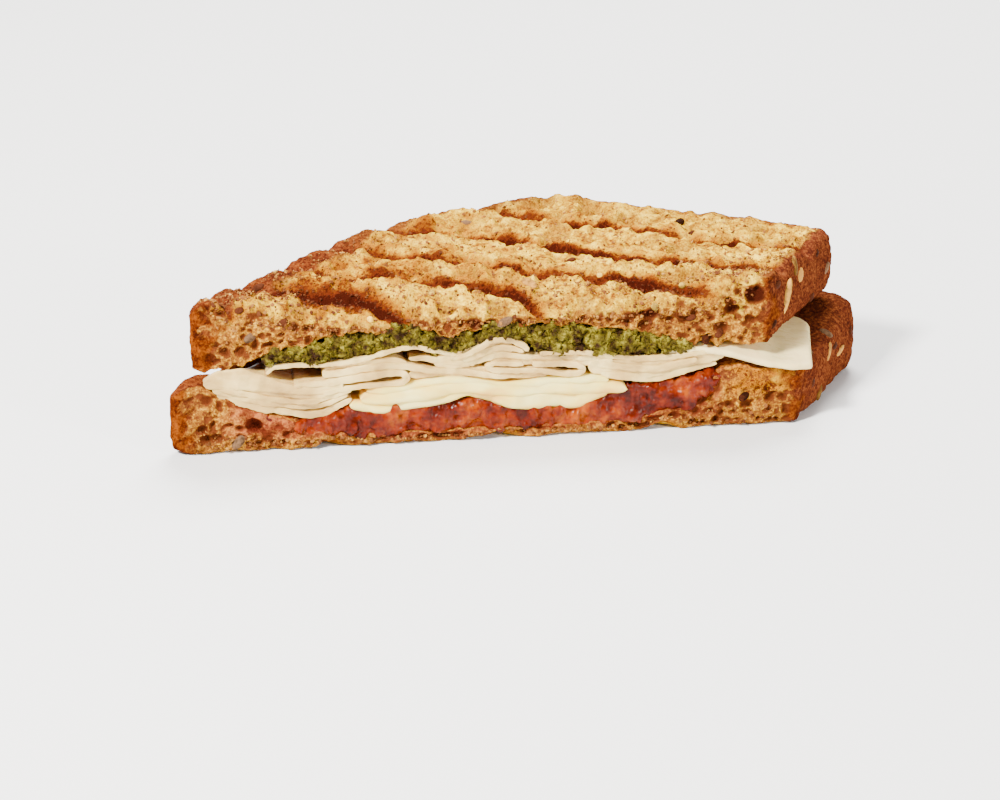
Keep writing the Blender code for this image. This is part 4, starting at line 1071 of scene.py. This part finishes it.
def facing(normals, spins):
    """Frames of three unit vectors for each normal: two across it, turned by the spin, and itself."""
    helper = np.where(np.abs(normals[:, 2:]) < 0.8, (0.0, 0.0, 1.0), (1.0, 0.0, 0.0))
    first = np.cross(helper, normals)
    first /= np.linalg.norm(first, axis=1)[:, None]
    second = np.cross(normals, first)
    turned = first * np.cos(spins)[:, None] + second * np.sin(spins)[:, None]
    return np.stack([turned, np.cross(normals, turned), normals], axis=1)


def scattered(name, shape, faces, places, frames, sizes, material, tones, bent=0.0):
    """One mesh of many copies of a small shape, each with its place, frame, size and tone, its corners
    drawn in or out by up to the share bent."""
    uneven = 1 + bent * np.random.default_rng(len(places)).uniform(-1, 1, (len(places), len(shape), 1))
    points = np.einsum("nk,vk,nkc->nvc", sizes, shape, frames) * uneven + places[:, None, :]
    all_faces = faces[None] + (np.arange(len(places)) * len(shape))[:, None, None]
    piece = piece_from(name, points.reshape(-1, 3), all_faces.reshape(-1, faces.shape[1]), material,
                       {"tone": np.repeat(tones, len(shape))}, weld=not bent)
    if bent:
        piece.data.shade_flat()
    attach(piece, "root")


def grain_material(name, colour):
    """A grain: its colour, darker and lighter from grain to grain and along it."""
    material, flow = new_material(name)
    shade = flow.noise(0.9, 3) * 0.8 + flow.attribute("tone") * 0.5
    dark = tuple(0.35 * value for value in colour[:3]) + (1,)
    light = tuple(min(1.0, 1.5 * value) for value in colour[:3]) + (1,)
    tint = shade.ramp((0.45, dark), (0.62, colour), (0.85, light))
    finish_material(flow, tint, 0.6, flow.noise(0.5, 2), 0.5, Specular_IOR_Level=0.02)
    return material


both_slices = lower, upper
surface = np.concatenate([grid.reshape(-1, 3) for grid, _, _ in both_slices])
outward = np.concatenate([surface_normals(grid, way).reshape(-1, 3) for grid, way, _ in both_slices])
tilt = np.linspace(0, math.pi, GRAIN_ROWS)[:, None]
turn = np.arange(GRAIN_COLUMNS) / GRAIN_COLUMNS * 2 * math.pi
grain_shape = np.stack([np.cos(tilt) + 0 * turn, np.sin(tilt) * np.cos(turn), np.sin(tilt) * np.sin(turn)],
                       axis=-1).reshape(-1, 3)
grain_faces = ring_faces(GRAIN_ROWS, GRAIN_COLUMNS)
for seed, (grain, (size, colour, proud, spots)) in enumerate(GRAINS.items()):
    spots = np.array(spots, float)
    nearest = np.array([np.argmin(((surface - spot[:3]) ** 2).sum(axis=1)) for spot in spots])
    draw = np.random.default_rng(200 + seed)
    sizes = np.array(size) * draw.uniform(0.85, 1.15, (len(spots), 1))
    places = surface[nearest] + outward[nearest] * (proud - sizes[:, 2:] * 0.5)
    scattered(grain, grain_shape, grain_faces, places, facing(outward[nearest], spots[:, 3]), sizes,
              grain_material(grain.replace("_", " "), colour), draw.uniform(0, 1, len(spots)))


# Toast crumbs: dry crumbs and torn wisps that stand on the grilled face and hang on the cut's edges.
# They are small closed lumps of twenty faces, denser along the cut's upper edge.
GOLDEN_RATIO = (1 + math.sqrt(5)) / 2
LUMP = np.array([(a, b * GOLDEN_RATIO, 0.0) for a in (-1, 1) for b in (-1, 1)])
LUMP = np.concatenate([LUMP, LUMP[:, (2, 0, 1)], LUMP[:, (1, 2, 0)]]) / math.hypot(1, GOLDEN_RATIO)


def hull_faces(corners):
    """Triangles of a convex solid: every three corners with all others on one side, wound outwards."""
    triangles = []
    for a in range(len(corners)):
        for b in range(a + 1, len(corners)):
            for c in range(b + 1, len(corners)):
                normal = np.cross(corners[b] - corners[a], corners[c] - corners[a])
                side = (corners - corners[a]) @ normal
                if (side < 1e-9).all():
                    triangles.append((a, b, c))
                elif (side > -1e-9).all():
                    triangles.append((a, c, b))
    return np.array(triangles)


TOAST_CRUMB_TONES = ((0.0, CRUMB_SHADE), (0.35, (0.2, 0.07, 0.018, 1)), (0.75, (0.42, 0.2, 0.04, 1)),
                     (1.0, (0.8, 0.5, 0.13, 1)))


def crumb_material():
    """Crumbs: from scorched brown to pale gold, one tone each."""
    material, flow = new_material("toast crumbs")
    tint = flow.attribute("tone").ramp(*TOAST_CRUMB_TONES)
    finish_material(flow, tint, 0.8, flow.noise(0.4, 2), 0.3, Specular_IOR_Level=0.05)
    return material


def crumbs(name, bread_grid, rows, count, size, tones, seed):
    """Crumbs on random points of these rows of a slice's grid, darker where it is scorched."""
    points, pushes, char = bread_grid
    draw = np.random.default_rng(seed)
    station = draw.integers(8, STATIONS - 8, count)
    row = draw.integers(rows[0], rows[1], count)
    normal = surface_normals(points, pushes)[station, row]
    sizes = size * draw.uniform(0.4, 1.0, (count, 1)) ** 1.5 * draw.uniform(0.4, 1.4, (count, 3))
    places = points[station, row] + normal * 0.35 * sizes[:, 2:]
    frames = facing(normal, draw.uniform(0, 6.3, count))
    tone = draw.uniform(*tones, count) * np.clip(1 - char[station, row], 0, 1)
    scattered(name, LUMP, lump_faces, places, frames, sizes, dry_crumbs, tone, 0.55)


dry_crumbs = crumb_material()
lump_faces = hull_faces(LUMP)
edge = WALL_ROWS + ARC_ROWS
for seed, kind in enumerate((
        ("crumbs_on_the_edge", upper, (WALL_ROWS - 7, edge + 12), 1000, 0.5, (0.0, 0.7)),
        ("crumbs_on_the_face", upper, (edge, edge + UPPER_FACE_ROWS[0]), 3000, 0.4, (0.1, 0.9)),
        ("crumbs_on_the_upper_cut", upper, (4, WALL_ROWS - 6), 260, 0.45, (0.0, 0.6)),
        ("crumbs_on_the_lower_cut", lower, (0, WALL_ROWS // 3), 400, 0.5, (0.0, 0.75)))):
    crumbs(*kind, 301 + seed)


# Loose pesto: coarse clumps of chopped basil and nut on the front of the spread.
# They are the same small lumps as the crumbs, in one mesh, sunk about halfway into it.
CLUMPS = 1300
points, pushes = spread
draw = np.random.default_rng(310)
station = draw.integers(4, len(points) - 4, CLUMPS)
row = draw.integers(2, PESTO_ROWS[0] - 2, CLUMPS)
normal = surface_normals(points, pushes)[station, row]
sizes = draw.uniform(0.45, 1.0, (CLUMPS, 1)) * draw.uniform(0.5, 1.3, (CLUMPS, 3))
frames = facing(normal, draw.uniform(0, 6.3, CLUMPS))
scattered("pesto_clumps", LUMP, lump_faces, points[station, row] + 0.1 * normal, frames, sizes, basil,
          draw.uniform(0, 1, CLUMPS), 0.5)
